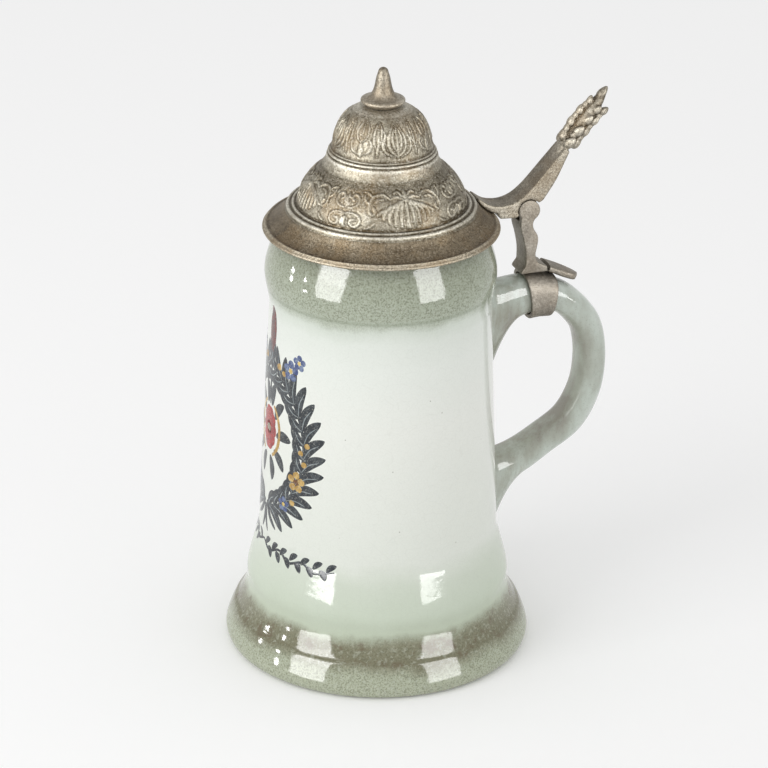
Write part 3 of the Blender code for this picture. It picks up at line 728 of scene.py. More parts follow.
def lid_outside():
    """From the crown to the lip, with a double bead under each dome and two fine rings at the lip."""
    beads_mid = [arc((17.75, BEAD_Z + 1.0), 0.42, 110.0, -60.0, 8),
                 arc((18.35, BEAD_Z), 0.5, 70.0, -70.0, 8)]
    beads_low = [arc((30.6, SEAT_Z + 9.3), 0.55, 150.0, 0.0, 9),
                 arc((32.4, SEAT_Z + 8.4), 0.7, 140.0, -20.0, 10)]
    lip = [arc((40.2, SEAT_Z + 1.8), 0.36, 120.0, 10.0, 6),
           arc((LIP_RADIUS - 0.5, SEAT_Z + 0.75), 0.5, 70.0, -90.0, 10)]
    band = curve_through(dome_band + lower_dome, 10)
    crown, slope = curve_through(upper_dome, 10), curve_through(brim_slope, 10)
    return np.concatenate([crown, *beads_mid, band, *beads_low, slope, *lip])


def lid_inside():
    """Under the lip, round the locating ring and up inside both domes, 2 mm within the outside."""
    ring = [(33.8, SEAT_Z), (33.5, SEAT_Z - 3.0), (31.6, SEAT_Z - 3.0), (31.6, SEAT_Z + 1.2)]
    hollow = [(28.1, SEAT_Z + 9.5), (26.4, SEAT_Z + 14.6), (22.6, SEAT_Z + 19.4), (18.2, SEAT_Z + 23.4),
              (16.0, SEAT_Z + 28.0), (13.6, LID_TOP - 8.0), (8.6, LID_TOP - 3.8), (0.0, LID_TOP - 2.2)]
    return np.concatenate([ring, curve_through([ring[-1], *hollow], 4)[1:]])


outside = evenly(lid_outside(), RING_SPACING)
lid_line = np.concatenate([[(0.0, LID_TOP)], [(3.2, LID_TOP)], outside, lid_inside()])
print(f"lid: {len(outside)} rings outside, {len(lid_line)} in all")

# %% Ornament strokes
GROOVE_PLACE, GROOVE_WIDTH = 0.25, 0.28
GROOVE_SHARE = 0.6


def stroke(points, width, start=0.35, end=0.15):
    """A curved stroke: its line and its half width, which swells from start to full and back
    to end, as shares of the width."""
    line = curve_through(points, 8)
    t = np.linspace(0.0, 1.0, len(line))
    swell = np.sin(np.pi * t) ** 0.7
    ends = start * (1 - t) + end * t
    return line, width * (ends + (1 - ends) * swell)


def ridge_height(x, y, strokes):
    """Highest of the strokes at each point: inside a half width the root of 1 - (distance / half
    width) squared, and outside it a fine bell-shaped groove."""
    height = np.zeros(x.shape)
    groove = np.zeros(x.shape)
    for line, half in strokes:
        distance = np.hypot(x[..., None] - line[:, 0], y[..., None] - line[:, 1])
        near = (distance / half).min(axis=-1)
        beside = (distance - half).min(axis=-1)
        height = np.maximum(height, np.sqrt(np.clip(1.0 - near**2, 0.0, 1.0)))
        groove = np.maximum(groove, np.exp(-(((beside - GROOVE_PLACE) / GROOVE_WIDTH) ** 2)))
    return height - GROOVE_SHARE * groove * (height < 0.05)


on_line = ridge_height(np.zeros(1), np.zeros(1), [stroke([(0.0, -1.0), (0.0, 1.0)], 1.0)])[0]
print(f"on its own line a ridge stands {on_line:.2f} of its depth high")


# %% Frieze round the lower dome
def drooping_leaf(k):
    """The k-th vein of the fan leaf, which leaves the tuft, swings out and hangs down."""
    out = 2.05 * k
    return stroke([(0.2 * k, 12.2), (0.62 * out, 11.4 - 0.35 * k), (0.98 * out, 8.0 - 0.15 * k),
                   (0.94 * out + 0.4, 2.6 + 0.18 * k * k)], 0.5, 0.3, 0.75)


fan_leaf = [drooping_leaf(k) for k in range(6)]
fan_leaf += [stroke([(0.0, 12.8), (0.0, 15.8)], 0.8, 0.6, 0.3),
             stroke([(0.6, 13.0), (2.6, 15.2), (4.6, 14.6)], 0.5),
             stroke([(1.0, 12.6), (3.6, 13.4), (6.2, 12.2)], 0.5)]
scroll = [stroke([(6.2, 12.8), (8.6, 14.4), (11.6, 13.9), (13.4, 11.4), (13.5, 8.2), (12.2, 7.0),
                  (11.3, 8.0), (11.9, 9.4)], 0.45, 0.6, 0.9),
          stroke([(8.2, 12.4), (10.4, 12.4), (11.6, 11.0)], 0.4),
          stroke([(13.3, 10.2), (15.2, 12.4), (15.4, 14.8)], 0.42),
          stroke([(12.6, 12.8), (14.0, 14.6), (16.4, 15.0)], 0.4),
          stroke([(11.4, 4.2), (13.0, 2.6), (15.0, 2.2)], 0.42)]
lyre = [stroke([(22.0, 8.6), (19.4, 9.0), (17.5, 10.6), (17.9, 13.0), (19.6, 13.6), (20.3, 12.2),
                (19.4, 11.4)], 0.45, 0.8, 0.9),
        stroke([(22.0, 6.6), (19.6, 7.0), (17.0, 6.0), (16.4, 3.8), (18.0, 2.4), (19.8, 3.2), (19.4, 4.8),
                (18.2, 4.7)], 0.45, 0.8, 0.9),
        stroke([(22.0, 8.8), (22.0, 11.4), (22.0, 14.2)], 0.7, 0.5, 0.2),
        stroke([(21.2, 9.4), (20.9, 11.4), (21.3, 13.4)], 0.36),
        stroke([(22.0, 5.6), (22.0, 1.8)], 0.7, 0.5, 0.3), stroke([(21.0, 5.4), (20.8, 2.4)], 0.36)]
FRIEZE = fan_leaf + scroll + lyre
print(f"{len(FRIEZE)} strokes in a half repeat of the frieze")

# %% Leaves round the crown
tall_leaf = [stroke([(0.0, 0.6), (0.0, 6.0), (0.0, 12.2)], 0.45, 0.5, 0.2),
             stroke([(0.1, 0.6), (2.5, 3.2), (2.9, 7.4), (0.7, 12.6)], 0.46),
             stroke([(0.1, 1.8), (1.3, 4.4), (1.6, 7.6), (0.5, 11.0)], 0.36),
             stroke([(0.8, 0.5), (4.0, 2.2), (5.0, 5.2), (4.2, 8.0), (4.9, 9.6)], 0.42)]
small_leaf = [stroke([(6.9, 0.8), (6.5, 6.0), (6.7, 12.8)], 0.4, 0.6, 0.3),
              stroke([(6.7, 3.6), (5.5, 6.6), (5.4, 10.0), (6.2, 12.8)], 0.36),
              stroke([(6.9, 3.0), (8.1, 6.0), (8.0, 9.6), (7.2, 12.6)], 0.36),
              stroke([(12.57, 0.6), (12.57, 4.6)], 0.9, 0.6, 0.3),
              stroke([(12.57, 6.0), (12.57, 12.4)], 0.4),
              stroke([(12.3, 5.0), (10.6, 7.2), (10.4, 10.2), (11.8, 13.2)], 0.42),
              stroke([(12.0, 0.8), (9.6, 2.2), (8.9, 4.6), (9.7, 6.4)], 0.42)]
CROWN_LEAVES = tall_leaf + small_leaf
print(f"{len(CROWN_LEAVES)} strokes in a half repeat of the crown")

# %% Lid relief
FRIEZE_TURN = math.radians(268.6)
FRIEZE_RADIUS, CROWN_RADIUS = 28.0, 16.0
FRIEZE_DEPTH, CROWN_DEPTH = 0.21, 0.17
GROUND_SUNK = 0.08
GROUND_RELIEF, PROUD_GAIN, PROUD_LIMIT = 0.42, 1.5, 0.2
REPEATS = 4


def ornament(angle, low, high, strokes, radius):
    """Stroke height round a dome. A repeat is folded about its middle, so that each half mirrors
    the other, and heights are measured along the dome from its foot."""
    turn = 2 * np.pi / REPEATS
    fold = np.abs((angle - FRIEZE_TURN + turn / 2) % turn - turn / 2) * radius
    along = lengths_along(lid_line)[1:-1]
    heights = lid_line[1:-1, 1]
    outer = np.arange(len(heights)) < len(outside) + 1
    rows = np.flatnonzero(outer & (heights >= low) & (heights <= high))
    up = along[rows].max() - along[rows]
    x, y = np.broadcast_arrays(fold[None, :], up[:, None])
    return rows, ridge_height(x, y, strokes)


def lid_relief():
    """Millimetres pushed out at each ring and step, and the 0 to 1 relief value: bright where the
    profile stands proud of its own average over 3 mm, as on a bead, and dark where it is sunk."""
    angle = np.arange(LID_STEPS) * 2 * np.pi / LID_STEPS
    push = np.zeros((len(lid_line) - 2, LID_STEPS))
    kernel = np.ones(9) / 9
    averaged = np.stack([np.convolve(np.pad(column, 4, "edge"), kernel, "valid")
                         for column in lid_line.T], axis=1)
    tangent = np.gradient(averaged, axis=0)
    tangent /= np.linalg.norm(tangent, axis=1, keepdims=True) + 1e-12
    outward = np.stack([-tangent[:, 1], tangent[:, 0]], axis=1)
    proud = np.sum((lid_line - averaged) * outward, axis=1)
    ring_value = GROUND_RELIEF + PROUD_GAIN * np.clip(proud, -PROUD_LIMIT, PROUD_LIMIT)[1:-1]
    value = np.repeat(ring_value[:, None], LID_STEPS, axis=1)
    for low, high, strokes, radius, depth in (
            (DOME_FOOT_Z + 0.2, SEAT_Z + 23.2, FRIEZE, FRIEZE_RADIUS, FRIEZE_DEPTH),
            (LID_TOP - 13.6, LID_TOP - 0.9, CROWN_LEAVES, CROWN_RADIUS, CROWN_DEPTH)):
        rows, height = ornament(angle, low, high, strokes, radius)
        push[rows] = depth * height - GROUND_SUNK * (height <= 0.0)
        value[rows] += np.where(height > 0.0, 0.09 * height, 0.4 * height - 0.02)
    return push, value


print(f"the ornament repeats {REPEATS} times round and stands {FRIEZE_DEPTH} and {CROWN_DEPTH} mm proud")

# %% Domed lid
BAND_SHINE, CROWN_SHINE, COLLAR_SHADE = 0.14, 0.16, 0.12
COLLAR_Z = SEAT_Z + 22.4
relief_push, relief_value = lid_relief()
heights = lid_line[1:-1, 1:]
on_outside = np.arange(len(heights))[:, None] < len(outside) + 1
on_band = on_outside & (heights > BAND_LOW_Z - 0.8) & (heights < BEAD_Z - 0.9)
on_crown = on_outside & (heights > LID_TOP - 1.2)
on_collar = on_outside & (np.abs(heights - COLLAR_Z) < 1.6)
relief_value = relief_value + BAND_SHINE * on_band + CROWN_SHINE * on_crown - COLLAR_SHADE * on_collar
lid = make_mesh("domed_lid", turned(lid_line, LID_STEPS, relief_push), 50.0)
mark_points(lid, "relief", np.concatenate([relief_value.ravel(), [0.5, 0.4]]))
settle(lid, antique_pewter, "lid", "antique_pewter", "lid")

# %% Darker pewter on the brim and inside
BRIM_TOP_Z = SEAT_Z + 7.6
lid.data.materials.append(brim_pewter)
slope_rows = (heights.ravel()[:-1] < BRIM_TOP_Z) | ~on_outside.ravel()[:-1]
crown_fan, inside_fan = np.zeros(LID_STEPS, bool), np.ones(LID_STEPS, bool)
brim_slot = np.concatenate([np.repeat(slope_rows, LID_STEPS), crown_fan, inside_fan])
lid.data.polygons.foreach_set("material_index", brim_slot.astype(np.int32))
print(f"relief on {int((relief_push != 0).sum())} of {relief_push.size} points, "
      f"brim finish on {int(brim_slot.sum())} faces")

# %% [markdown]
# ## Painted wreath
# The front carries a fired transfer: a wreath of dark leaves round a red rose, with gold and blue
# flowers among them, over a garland. It could be a flat image on the wall, but that would need a
# file and a mapping. Each brush stroke is a thin lens of enamel instead, laid out on the
# unrolled wall and wrapped round it. The right half is drawn and the left half mirrors it.

# %% Brush strokes on the wall
FRONT = math.pi
LENS_POINTS = 10


def brush(points, width, start=0.35, end=0.1):
    """A stroke of the ornament kind as a line of (sideways, height, half width)."""
    line, half = stroke(points, width, start, end)
    return np.column_stack([line, half])


def dab(x, height, radius, tall=1.0):
    """A round or oval dab: its half width is a circle's, the root of 1 - t squared."""
    t = np.cos(np.linspace(np.pi - 0.25, 0.25, 11))
    return np.column_stack([x + radius * t, np.full(11, height), tall * radius * np.sqrt(1 - t**2)])


def on_wall(line, proud):
    """A flat lens round the line, wrapped on the mug: turn is sideways over the wall's radius."""
    along = np.gradient(line[:, :2], axis=0)
    along /= np.linalg.norm(along, axis=1, keepdims=True)
    a = np.arange(LENS_POINTS) * 2 * np.pi / LENS_POINTS
    across = line[:, 2:] * np.cos(a)
    sideways = line[:, :1] - along[:, 1:] * across
    height = line[:, 1:2] + along[:, :1] * across
    wall = wall_radius(height)
    radius = wall + proud * np.sin(a)
    turn = FRONT + sideways / wall
    return tube(np.stack([radius * np.cos(turn), radius * np.sin(turn), height], axis=-1))


def enamel(name, colour, wash):
    """Fired colour with a slightly uneven wash, worn through to grey in fine specks."""
    paint = Finish(name)
    uneven = paint.step(paint.noise(2.2, 3.0, 0.6), 0.40, 0.66)
    worn = paint.math("MULTIPLY", paint.step(paint.noise(0.7, 2.0, 0.7), 0.56, 0.70), 0.5)
    washed = paint.mix(uneven, colour, wash)
    paint.set(Base_Color=paint.mix(worn, washed, shade(178, 178, 168)), Roughness=0.16)
    return paint.material


def paint_on(name, strokes, colour, wash, proud):
    """One colour of the wreath as one piece, with its mirror image, proud millimetres thick on
    each side. A stroke on the middle line has no mirror image."""
    both = strokes + [line * (-1.0, 1.0, 1.0) for line in strokes if np.abs(line[:, 0]).max() > 0.5]
    piece = face_outwards(make_mesh(name, joined([on_wall(line, proud) for line in both]), 60.0))
    return settle(piece, enamel(name, colour, wash), "mug", "stoneware_glaze")


print(f"a dab has {len(dab(0.0, 0.0, 1.0))} sections of {LENS_POINTS} points")

# %% Wreath
WREATH_HEIGHT = 84.0
WREATH_HALF_WIDE, WREATH_HALF_TALL = 22.0, 26.0
ROSE_HEIGHT = 87.0
LEAF_LEAN = math.radians(40.0)


def leaf_from(place, lean, length, width):
    """A leaf from a place along the direction lean, which bows a tenth of its length."""
    x, h = place
    along, up = length * lean[0], length * lean[1]
    middle = (x + 0.5 * along - 0.1 * up, h + 0.5 * up + 0.1 * along)
    return brush([place, middle, (x + along, h + up)], width, 0.25, 0.1)


def wreath(lengths, width):
    """Leaves in pairs along a half ellipse: each leans from the stem's tangent by LEAF_LEAN to
    one side or the other."""
    strokes = []
    for a in np.radians(np.linspace(-84.0, 78.0, 15)):
        place = (WREATH_HALF_WIDE * math.cos(a), WREATH_HEIGHT + WREATH_HALF_TALL * math.sin(a))
        tangent = math.atan2(WREATH_HALF_TALL * math.cos(a), -WREATH_HALF_WIDE * math.sin(a))
        for side, length in zip((-1, 1), lengths):
            lean = (math.cos(tangent + side * LEAF_LEAN), math.sin(tangent + side * LEAF_LEAN))
            strokes.append(leaf_from(place, lean, length, width))
    return strokes


def flower(x, height, radius, petals=5):
    """Round petals in a ring."""
    return [dab(x + radius * math.cos(a), height + radius * math.sin(a), 0.62 * radius)
            for a in np.linspace(0.3, 0.3 + 2 * math.pi, petals, endpoint=False)]


print(f"{len(wreath((1.0, 1.0), 1.0))} leaves up each side of the wreath")

# %% Leaves, stems and garland
stem_arc = arc((0.0, WREATH_HEIGHT), (WREATH_HALF_WIDE, WREATH_HALF_TALL), -86.0, 84.0, 12)
stems = [brush(stem_arc, 0.7, 0.7, 0.3), brush([(1.0, 59.0), (4.0, 54.0), (8.6, 50.4)], 1.1, 0.6, 0.2),
         brush([(0.6, 57.6), (0.8, 52.0), (2.6, 47.4)], 0.9, 0.6, 0.2),
         brush([(0.0, 96.0), (0.0, 107.0), (0.0, 119.0)], 0.8)]
rose_leaves = [leaf_from((x, h), (math.cos(a), math.sin(a)), 9.0, 2.0) for x, h, a in
               ((5.0, 92.0, 0.9), (6.4, 86.0, 0.1), (5.0, 80.0, -0.7), (2.0, 96.0, 1.3), (2.0, 77.0, -1.3))]
garland_x = np.arange(2.0, 36.0, 2.7)
leaf_sides = np.where(np.arange(len(garland_x)) % 2, -1, 1)
garland = [brush([(0.0, 43.6), (6.0, 41.6), (12.0, 43.8), (18.0, 41.4), (24.0, 43.4), (30.0, 41.2),
                  (37.4, 43.0)], 0.5, 0.8, 0.5)]
garland += [leaf_from((x, 42.6), (0.76, 0.65 * side), 4.6, 1.15) for x, side in zip(garland_x, leaf_sides)]
dark_strokes = wreath((12.5, 8.5), 2.05) + stems + rose_leaves + garland
paint_on("wreath_leaves", dark_strokes, shade(42, 47, 52), shade(70, 76, 80), 0.045)
paint_on("wreath_veins", wreath((9.5, 6.0), 0.3), shade(126, 136, 140), shade(160, 168, 168), 0.06)

# %% Berries and gold flowers
GOLD_FLOWER = (19.0, 73.0)
low_berries = [dab(22.4, 80.6, 1.3), dab(20.6, 84.6, 1.2), dab(23.4, 88.0, 1.2), dab(17.6, 64.6, 1.3)]
high_berries = [dab(6.4, 112.4, 1.5), dab(9.8, 111.0, 1.2)]
rose_ring = brush(arc((0.0, ROSE_HEIGHT), (8.4, 10.4), -64.0, 64.0, 10), 0.9, 0.6, 0.6)
gold = flower(*GOLD_FLOWER, 2.6) + low_berries + [rose_ring] + high_berries
paint_on("wreath_gold", gold, shade(172, 134, 62), shade(212, 180, 112), 0.075)
paint_on("wreath_gold_hearts", [dab(*GOLD_FLOWER, 1.3)], shade(104, 66, 36), shade(126, 88, 50), 0.09)

# %% Rose, bud and blue flowers
petals = [dab(3.2 * math.cos(a), ROSE_HEIGHT + 5.4 * math.sin(a), 2.9)
          for a in np.radians([-74.0, -38.0, 0.0, 38.0, 74.0])]
rose_middle = dab(0.0, ROSE_HEIGHT, 2.2, 2.4)
paint_on("wreath_rose", petals + [rose_middle], shade(176, 42, 38), shade(142, 32, 32), 0.06)
paint_on("rose_heart", [dab(0.0, ROSE_HEIGHT, 1.9)], shade(236, 226, 206), shade(214, 200, 176), 0.085)
bud = [brush([(0.0, 116.0), (0.0, 124.0), (0.0, 133.0)], 3.0, 0.6, 0.15)]
paint_on("wreath_bud", bud, shade(112, 52, 46), shade(74, 48, 46), 0.06)
blue_flowers = ((13.6, 113.4, 2.5, 1.0), (17.8, 117.6, 1.9, 0.8), (13.0, 62.4, 1.9, 0.8))
blue = [petal for x, h, size, _ in blue_flowers for petal in flower(x, h, size)]
hearts = [dab(x, h, heart) for x, h, _, heart in blue_flowers]
paint_on("wreath_blue", blue, shade(62, 78, 126), shade(122, 138, 168), 0.075)
paint_on("wreath_blue_hearts", hearts, shade(226, 200, 120), shade(206, 176, 96), 0.09)

# %% [markdown]
# ## The finial
# A small turned disc with a spike is soldered on the crown of the lid. It is a lathe shape like
# the mug, so the same turning makes it. The disc is rubbed brighter than the spike.

# %% Finial
def read_points(piece):
    """Places in millimetres and normals of the piece's points."""
    count = len(piece.data.vertices)
    places, normals = np.empty(count * 3, np.float32), np.empty(count * 3, np.float32)
    piece.data.vertices.foreach_get("co", places)
    piece.data.vertex_normals.foreach_get("vector", normals)
    return places.reshape(-1, 3) / MM, normals.reshape(-1, 3)


FINIAL_BASE = LID_TOP + 0.3
finial_tip = arc((0.0, TIP_Z - 1.7), (1.75, 1.7), 90.0, 10.0, 8)
finial_spike = curve_through([(1.95, TIP_Z - 2.2), (2.35, TIP_Z - 3.4), (2.75, TIP_Z - 5.4),
                              (3.2, TIP_Z - 7.4), (4.1, TIP_Z - 9.4), (5.4, TIP_Z - 10.5),
                              (6.9, TIP_Z - 10.9)], 6)
finial_disc = arc((6.9, TIP_Z - 11.75), 0.8, 80.0, -70.0, 8)
finial_neck = [(6.6, FINIAL_BASE + 0.45), (6.3, FINIAL_BASE), (0.0, FINIAL_BASE)]
finial_line = np.concatenate([finial_tip, finial_spike, finial_disc, finial_neck])
finial = make_mesh("finial_spike", turned(finial_line, 96), 50.0)
finial_height = read_points(finial)[0][:, 2]
finial_relief = np.interp(finial_height, (TIP_Z - 11.0, TIP_Z - 7.0), (0.58, 0.33))
mark_points(finial, "relief", finial_relief)
settle(finial, cast_pewter, "lid", "antique_pewter", "finial")

# %% [markdown]
# ## Flat castings
# Hinge post and thumb lift are cast plates seen from the side: an outline with some width. The
# outline is carried across in a few rings, drawn in a little at both faces so that the edges
# are rounded as a file leaves them.

# %% Slab
def slab(outline, half_width, edge=0.4, spacing=0.5):
    """A closed (x, z) outline carried across Y. Ring k is moved inwards along its normals by
    edge (1 - cos) and stands at the width less edge (1 - sin), over a quarter turn."""
    line = evenly(np.concatenate([outline, outline[:1]]), spacing)[:-1]
    ahead, back = np.roll(line, -1, axis=0), np.roll(line, 1, axis=0)
    tangent = ahead - back
    tangent /= np.linalg.norm(tangent, axis=1, keepdims=True)
    area = np.sum(line[:, 0] * ahead[:, 1] - ahead[:, 0] * line[:, 1])
    inward = np.stack([-tangent[:, 1], tangent[:, 0]], axis=1) * np.sign(area)
    turn = np.radians([0.0, 30.0, 60.0, 90.0])
    inset = edge * (1 - np.sin(turn))
    stand = half_width - edge * (1 - np.cos(turn))
    inset, stand = np.concatenate([inset, inset[::-1]]), np.concatenate([-stand, stand[::-1]])
    flat = line[None] + inward[None] * inset[:, None, None]
    across = np.broadcast_to(stand[:, None], flat.shape[:2])
    return tube(np.stack([flat[..., 0], across, flat[..., 1]], axis=-1))


def at_pivot(points):
    """Points given from the hinge axis, as places."""
    return np.asarray(points, float) + (PIVOT_X, PIVOT_Z)


square = [(0.0, 0.0), (5.0, 0.0), (5.0, 5.0), (0.0, 5.0)]
print(f"a slab of a 5 mm square has {len(slab(square, 1.0)[0])} points")

# %% [markdown]
# The hinge post stands on the band and forks at the top round the knuckle of the thumb lift. It
# could be built as two ears on a stem, but one outline with the slot cut out of it by a Boolean
# keeps the faces of ears and stem in one plane, as the casting has them.

# %% Keeping and cutting a shape
def apply_modifiers(piece):
    """Keeps the mesh as its modifiers leave it."""
    evaluated = piece.evaluated_get(bpy.context.evaluated_depsgraph_get())
    mesh = bpy.data.meshes.new_from_object(evaluated)
    old = piece.data
    piece.modifiers.clear()
    piece.data = mesh
    bpy.data.meshes.remove(old)
    mesh.name = piece.name
    return piece


def carve(piece, tool):
    """Takes the tool's shape out of the piece."""
    cut = piece.modifiers.new("cut", "BOOLEAN")
    cut.operation, cut.solver, cut.object = "DIFFERENCE", "EXACT", tool
    apply_modifiers(piece)
    bpy.data.objects.remove(tool)
    return piece


FILED_RELIEF, LEAF_RELIEF = 0.44, 0.40
print(f"filed pewter carries relief {FILED_RELIEF}")

# %% Hinge post
EAR_RADIUS = 3.9
EAR_THICK = 1.6
RUNNING_GAP = 0.35
POST_FOOT_REACH = corners("hinge_post")[1][0] - PIVOT_X
foot_z = POST_BASE - PIVOT_Z
post_front = curve_through([(4.12, -0.5), (3.8, -1.6), (3.15, -2.6), (2.2, -3.5), (1.65, -4.6), (1.6, -5.9),
                            (2.1, -7.4), (3.4, -9.6), (3.7, -11.8), (3.3, -14.4), (2.9, -17.0),
                            (3.9, foot_z + 3.9), (POST_FOOT_REACH - 1.2, foot_z + 2.5)], 6)
post_foot = [(POST_FOOT_REACH, foot_z + 1.9), (POST_FOOT_REACH, foot_z), (-2.5, foot_z), (-2.3, foot_z + 1.0)]
post_back = curve_through([(-0.8, foot_z + 3.0), (-0.9, foot_z + 8.0), (-2.0, -10.4), (-3.1, -6.4),
                           (-3.05, -2.5)], 6)
post_head = np.concatenate([arc((0.0, 0.0), EAR_RADIUS, 218.0, 40.0, 21), [(3.6, 1.75), (4.0, 0.6)]])
post_outline = np.concatenate([post_head, post_front, post_foot, post_back[:-1]])
post = face_outwards(make_mesh("hinge_post_casting", slab(at_pivot(post_outline), HINGE_HALF), 45.0))
slot_floor = -EAR_RADIUS - RUNNING_GAP
slot_box = at_pivot([(-9.0, slot_floor), (9.0, slot_floor), (9.0, 9.0), (-9.0, 9.0)])
carve(post, face_outwards(make_mesh("slot_tool", slab(slot_box, HINGE_HALF - EAR_THICK, 0.1))))
post.data.shade_smooth()
post.data.set_sharp_from_angle(angle=math.radians(45.0))
mark_points(post, "relief", FILED_RELIEF)
settle(post, plain_pewter, "mug", "plain_pewter", "hinge_post")

# %% [markdown]
# ## Band and strap leaf
# A strip of pewter is bent round the upper arm of the handle and carries the post. A ring would
# leave gaps, as the arm is oval and bends, so the strip's rounded section is swept round the
# arm's own sections, a fixed gap outside them. Behind the post a short tongue lies down the
# back of the handle and steadies it.

# %% Band
BAND_START, BAND_END = 53.4, 63.2
BAND_STEPS, BAND_COLUMNS = 40, 96
BAND_THICK = 1.5
BAND_GAP = 0.3
BAND_LEAN = 1.6


def band_rows():
    """Sections of the arm grown by the strip's own rounded section: as b goes round once, the
    place along the arm and the growth trace a flat oval."""
    upper = handle_line[(handle_line[:, 1] > REACH_Z) & (handle_line[:, 0] < REACH_X - 8.0)]
    start = np.interp(BAND_START, upper[:, 0], np.arange(len(upper)))
    end = np.interp(BAND_END, upper[:, 0], np.arange(len(upper)))
    b_along, b_grow = oval(BAND_STEPS, 9.0)
    across, sideways = oval(BAND_COLUMNS, 2.6)
    at = (start + (end - start) * (b_along + 1) / 2)[:, None] + BAND_LEAN * (1 - across) / 2
    line = np.stack([np.interp(at, np.arange(len(upper)), upper[:, k]) for k in range(4)], axis=-1)
    grow = (BAND_GAP + BAND_THICK / 2 + BAND_THICK / 2 * b_grow)[:, None]
    slope = np.gradient(upper[:, :2], axis=0)
    slope = np.stack([np.interp(at, np.arange(len(upper)), slope[:, k]) for k in range(2)], axis=-1)
    slope /= np.linalg.norm(slope, axis=-1, keepdims=True)
    x = line[..., 0] - slope[..., 1] * across * (line[..., 2] + grow)
    z = line[..., 1] + slope[..., 0] * across * (line[..., 2] + grow)
    return np.stack([x, sideways * (line[..., 3] + grow), z], axis=-1)


band_grid = band_rows()
band_shell = (band_grid.reshape(-1, 3), [grid_faces(BAND_STEPS, BAND_COLUMNS, True, True)])
band = face_outwards(make_mesh("handle_band_strip", band_shell, 50.0))
mark_points(band, "relief", FILED_RELIEF)
settle(band, plain_pewter, "mug", "plain_pewter", "handle_band")

# %% Strap leaf
LEAF_TILT = math.radians(25.5)
LEAF_LENGTH = 13.2
leaf_t = np.linspace(0.0, 1.0, 40)
leaf_half = 4.9 - 1.5 * leaf_t + 0.5 * np.sin(np.pi * leaf_t)
leaf_half *= np.sqrt(np.clip(1.0 - ((leaf_t - 0.8) / 0.2).clip(0.0) ** 2, 0.02, 1.0))
leaf_thick = 1.3 + 0.25 * np.sin(np.pi * leaf_t)
leaf_down = leaf_t * LEAF_LENGTH
leaf_x = PIVOT_X + POST_FOOT_REACH + 0.35 + leaf_down * math.cos(LEAF_TILT) + math.sin(LEAF_TILT)
leaf_z = POST_BASE - leaf_down * math.sin(LEAF_TILT) + 0.85 * math.cos(LEAF_TILT)
leaf_rows = sections(np.stack([leaf_x, leaf_z, leaf_thick, leaf_half], axis=1), 48, 3.2)
leaf = face_outwards(make_mesh("strap_leaf_casting", tube(leaf_rows), 60.0))
mark_points(leaf, "relief", LEAF_RELIEF)
settle(leaf, plain_pewter, "mug", "plain_pewter", "strap_leaf")

# %% [markdown]
# ## The thumb lift
# One casting: a tang soldered to the brim, an arched arm, a narrow knuckle between the ears and
# a head of leaves for the thumb. Its parts are built as overlapping shells and then fused by a
# fine voxel remesh, which also gives the soft edges of a sand casting.

# %% Arm of the thumb lift
arm_top = curve_through([(-19.0, 6.6), (-15.2, 4.0), (-11.5, 3.0), (-7.7, 3.1), (-3.9, 4.5), (0.0, 7.5),
                         (3.8, 11.5), (7.6, 15.7), (13.0, 21.6)], 6)
arm_under = curve_through([(14.6, 20.4), (13.0, 17.0), (9.7, 10.2), (5.2, 3.4)], 6)
over_knuckle = arc((0.0, 0.0), EAR_RADIUS + RUNNING_GAP + 0.1, 34.0, 205.0, 20)
brim_line = np.array([(x - PIVOT_X, z - PIVOT_Z + 0.12) for x, z in brim_slope[::-1]])
tang = [(-5.2, -2.2), (LIP_RADIUS + 1.4 - PIVOT_X, -1.9), (LIP_RADIUS + 0.35 - PIVOT_X, -0.5),
        (LIP_RADIUS + 0.2 - PIVOT_X, 0.5)]
arm_outline = np.concatenate([arm_top, arm_under, over_knuckle, tang, brim_line])
head_line = curve_through([(11.5, 18.2, 1.5, 3.6), (17.2, 26.0, 2.1, 3.0), (21.6, 31.2, 2.3, 3.2),
                           (25.8, 35.8, 2.0, 2.6), (29.0, 40.0, 0.8, 1.0)], 8)
head_line[:, :2] += (PIVOT_X, PIVOT_Z)
print(f"arm outline of {len(arm_outline)} points, head core of {len(head_line)} sections")


# %% Leaves of the head
def lobe(place, size, tilt, turn):
    """A pointed bud: a sphere grid narrowed towards its tip, stretched to size, then turned
    sideways by turn and leaned by tilt, in degrees."""
    u = np.linspace(0.06, np.pi - 0.06, 13)[:, None]
    v = (np.arange(20) * 2 * np.pi / 20)[None]
    ball = np.stack([np.sin(u) * np.cos(v), np.sin(u) * np.sin(v), np.cos(u) + 0 * v], axis=-1)
    ball[..., :2] *= 1.0 - 0.3 * ball[..., 2:]
    ball *= size
    a, b = math.radians(tilt), math.radians(turn)
    sideways = np.array([[1, 0, 0], [0, math.cos(b), math.sin(b)], [0, -math.sin(b), math.cos(b)]])
    lean = np.array([[math.cos(a), 0, math.sin(a)], [0, 1, 0], [-math.sin(a), 0, math.cos(a)]])
    return tube(ball @ sideways.T @ lean.T + place)


HEAD_ROWS = 7


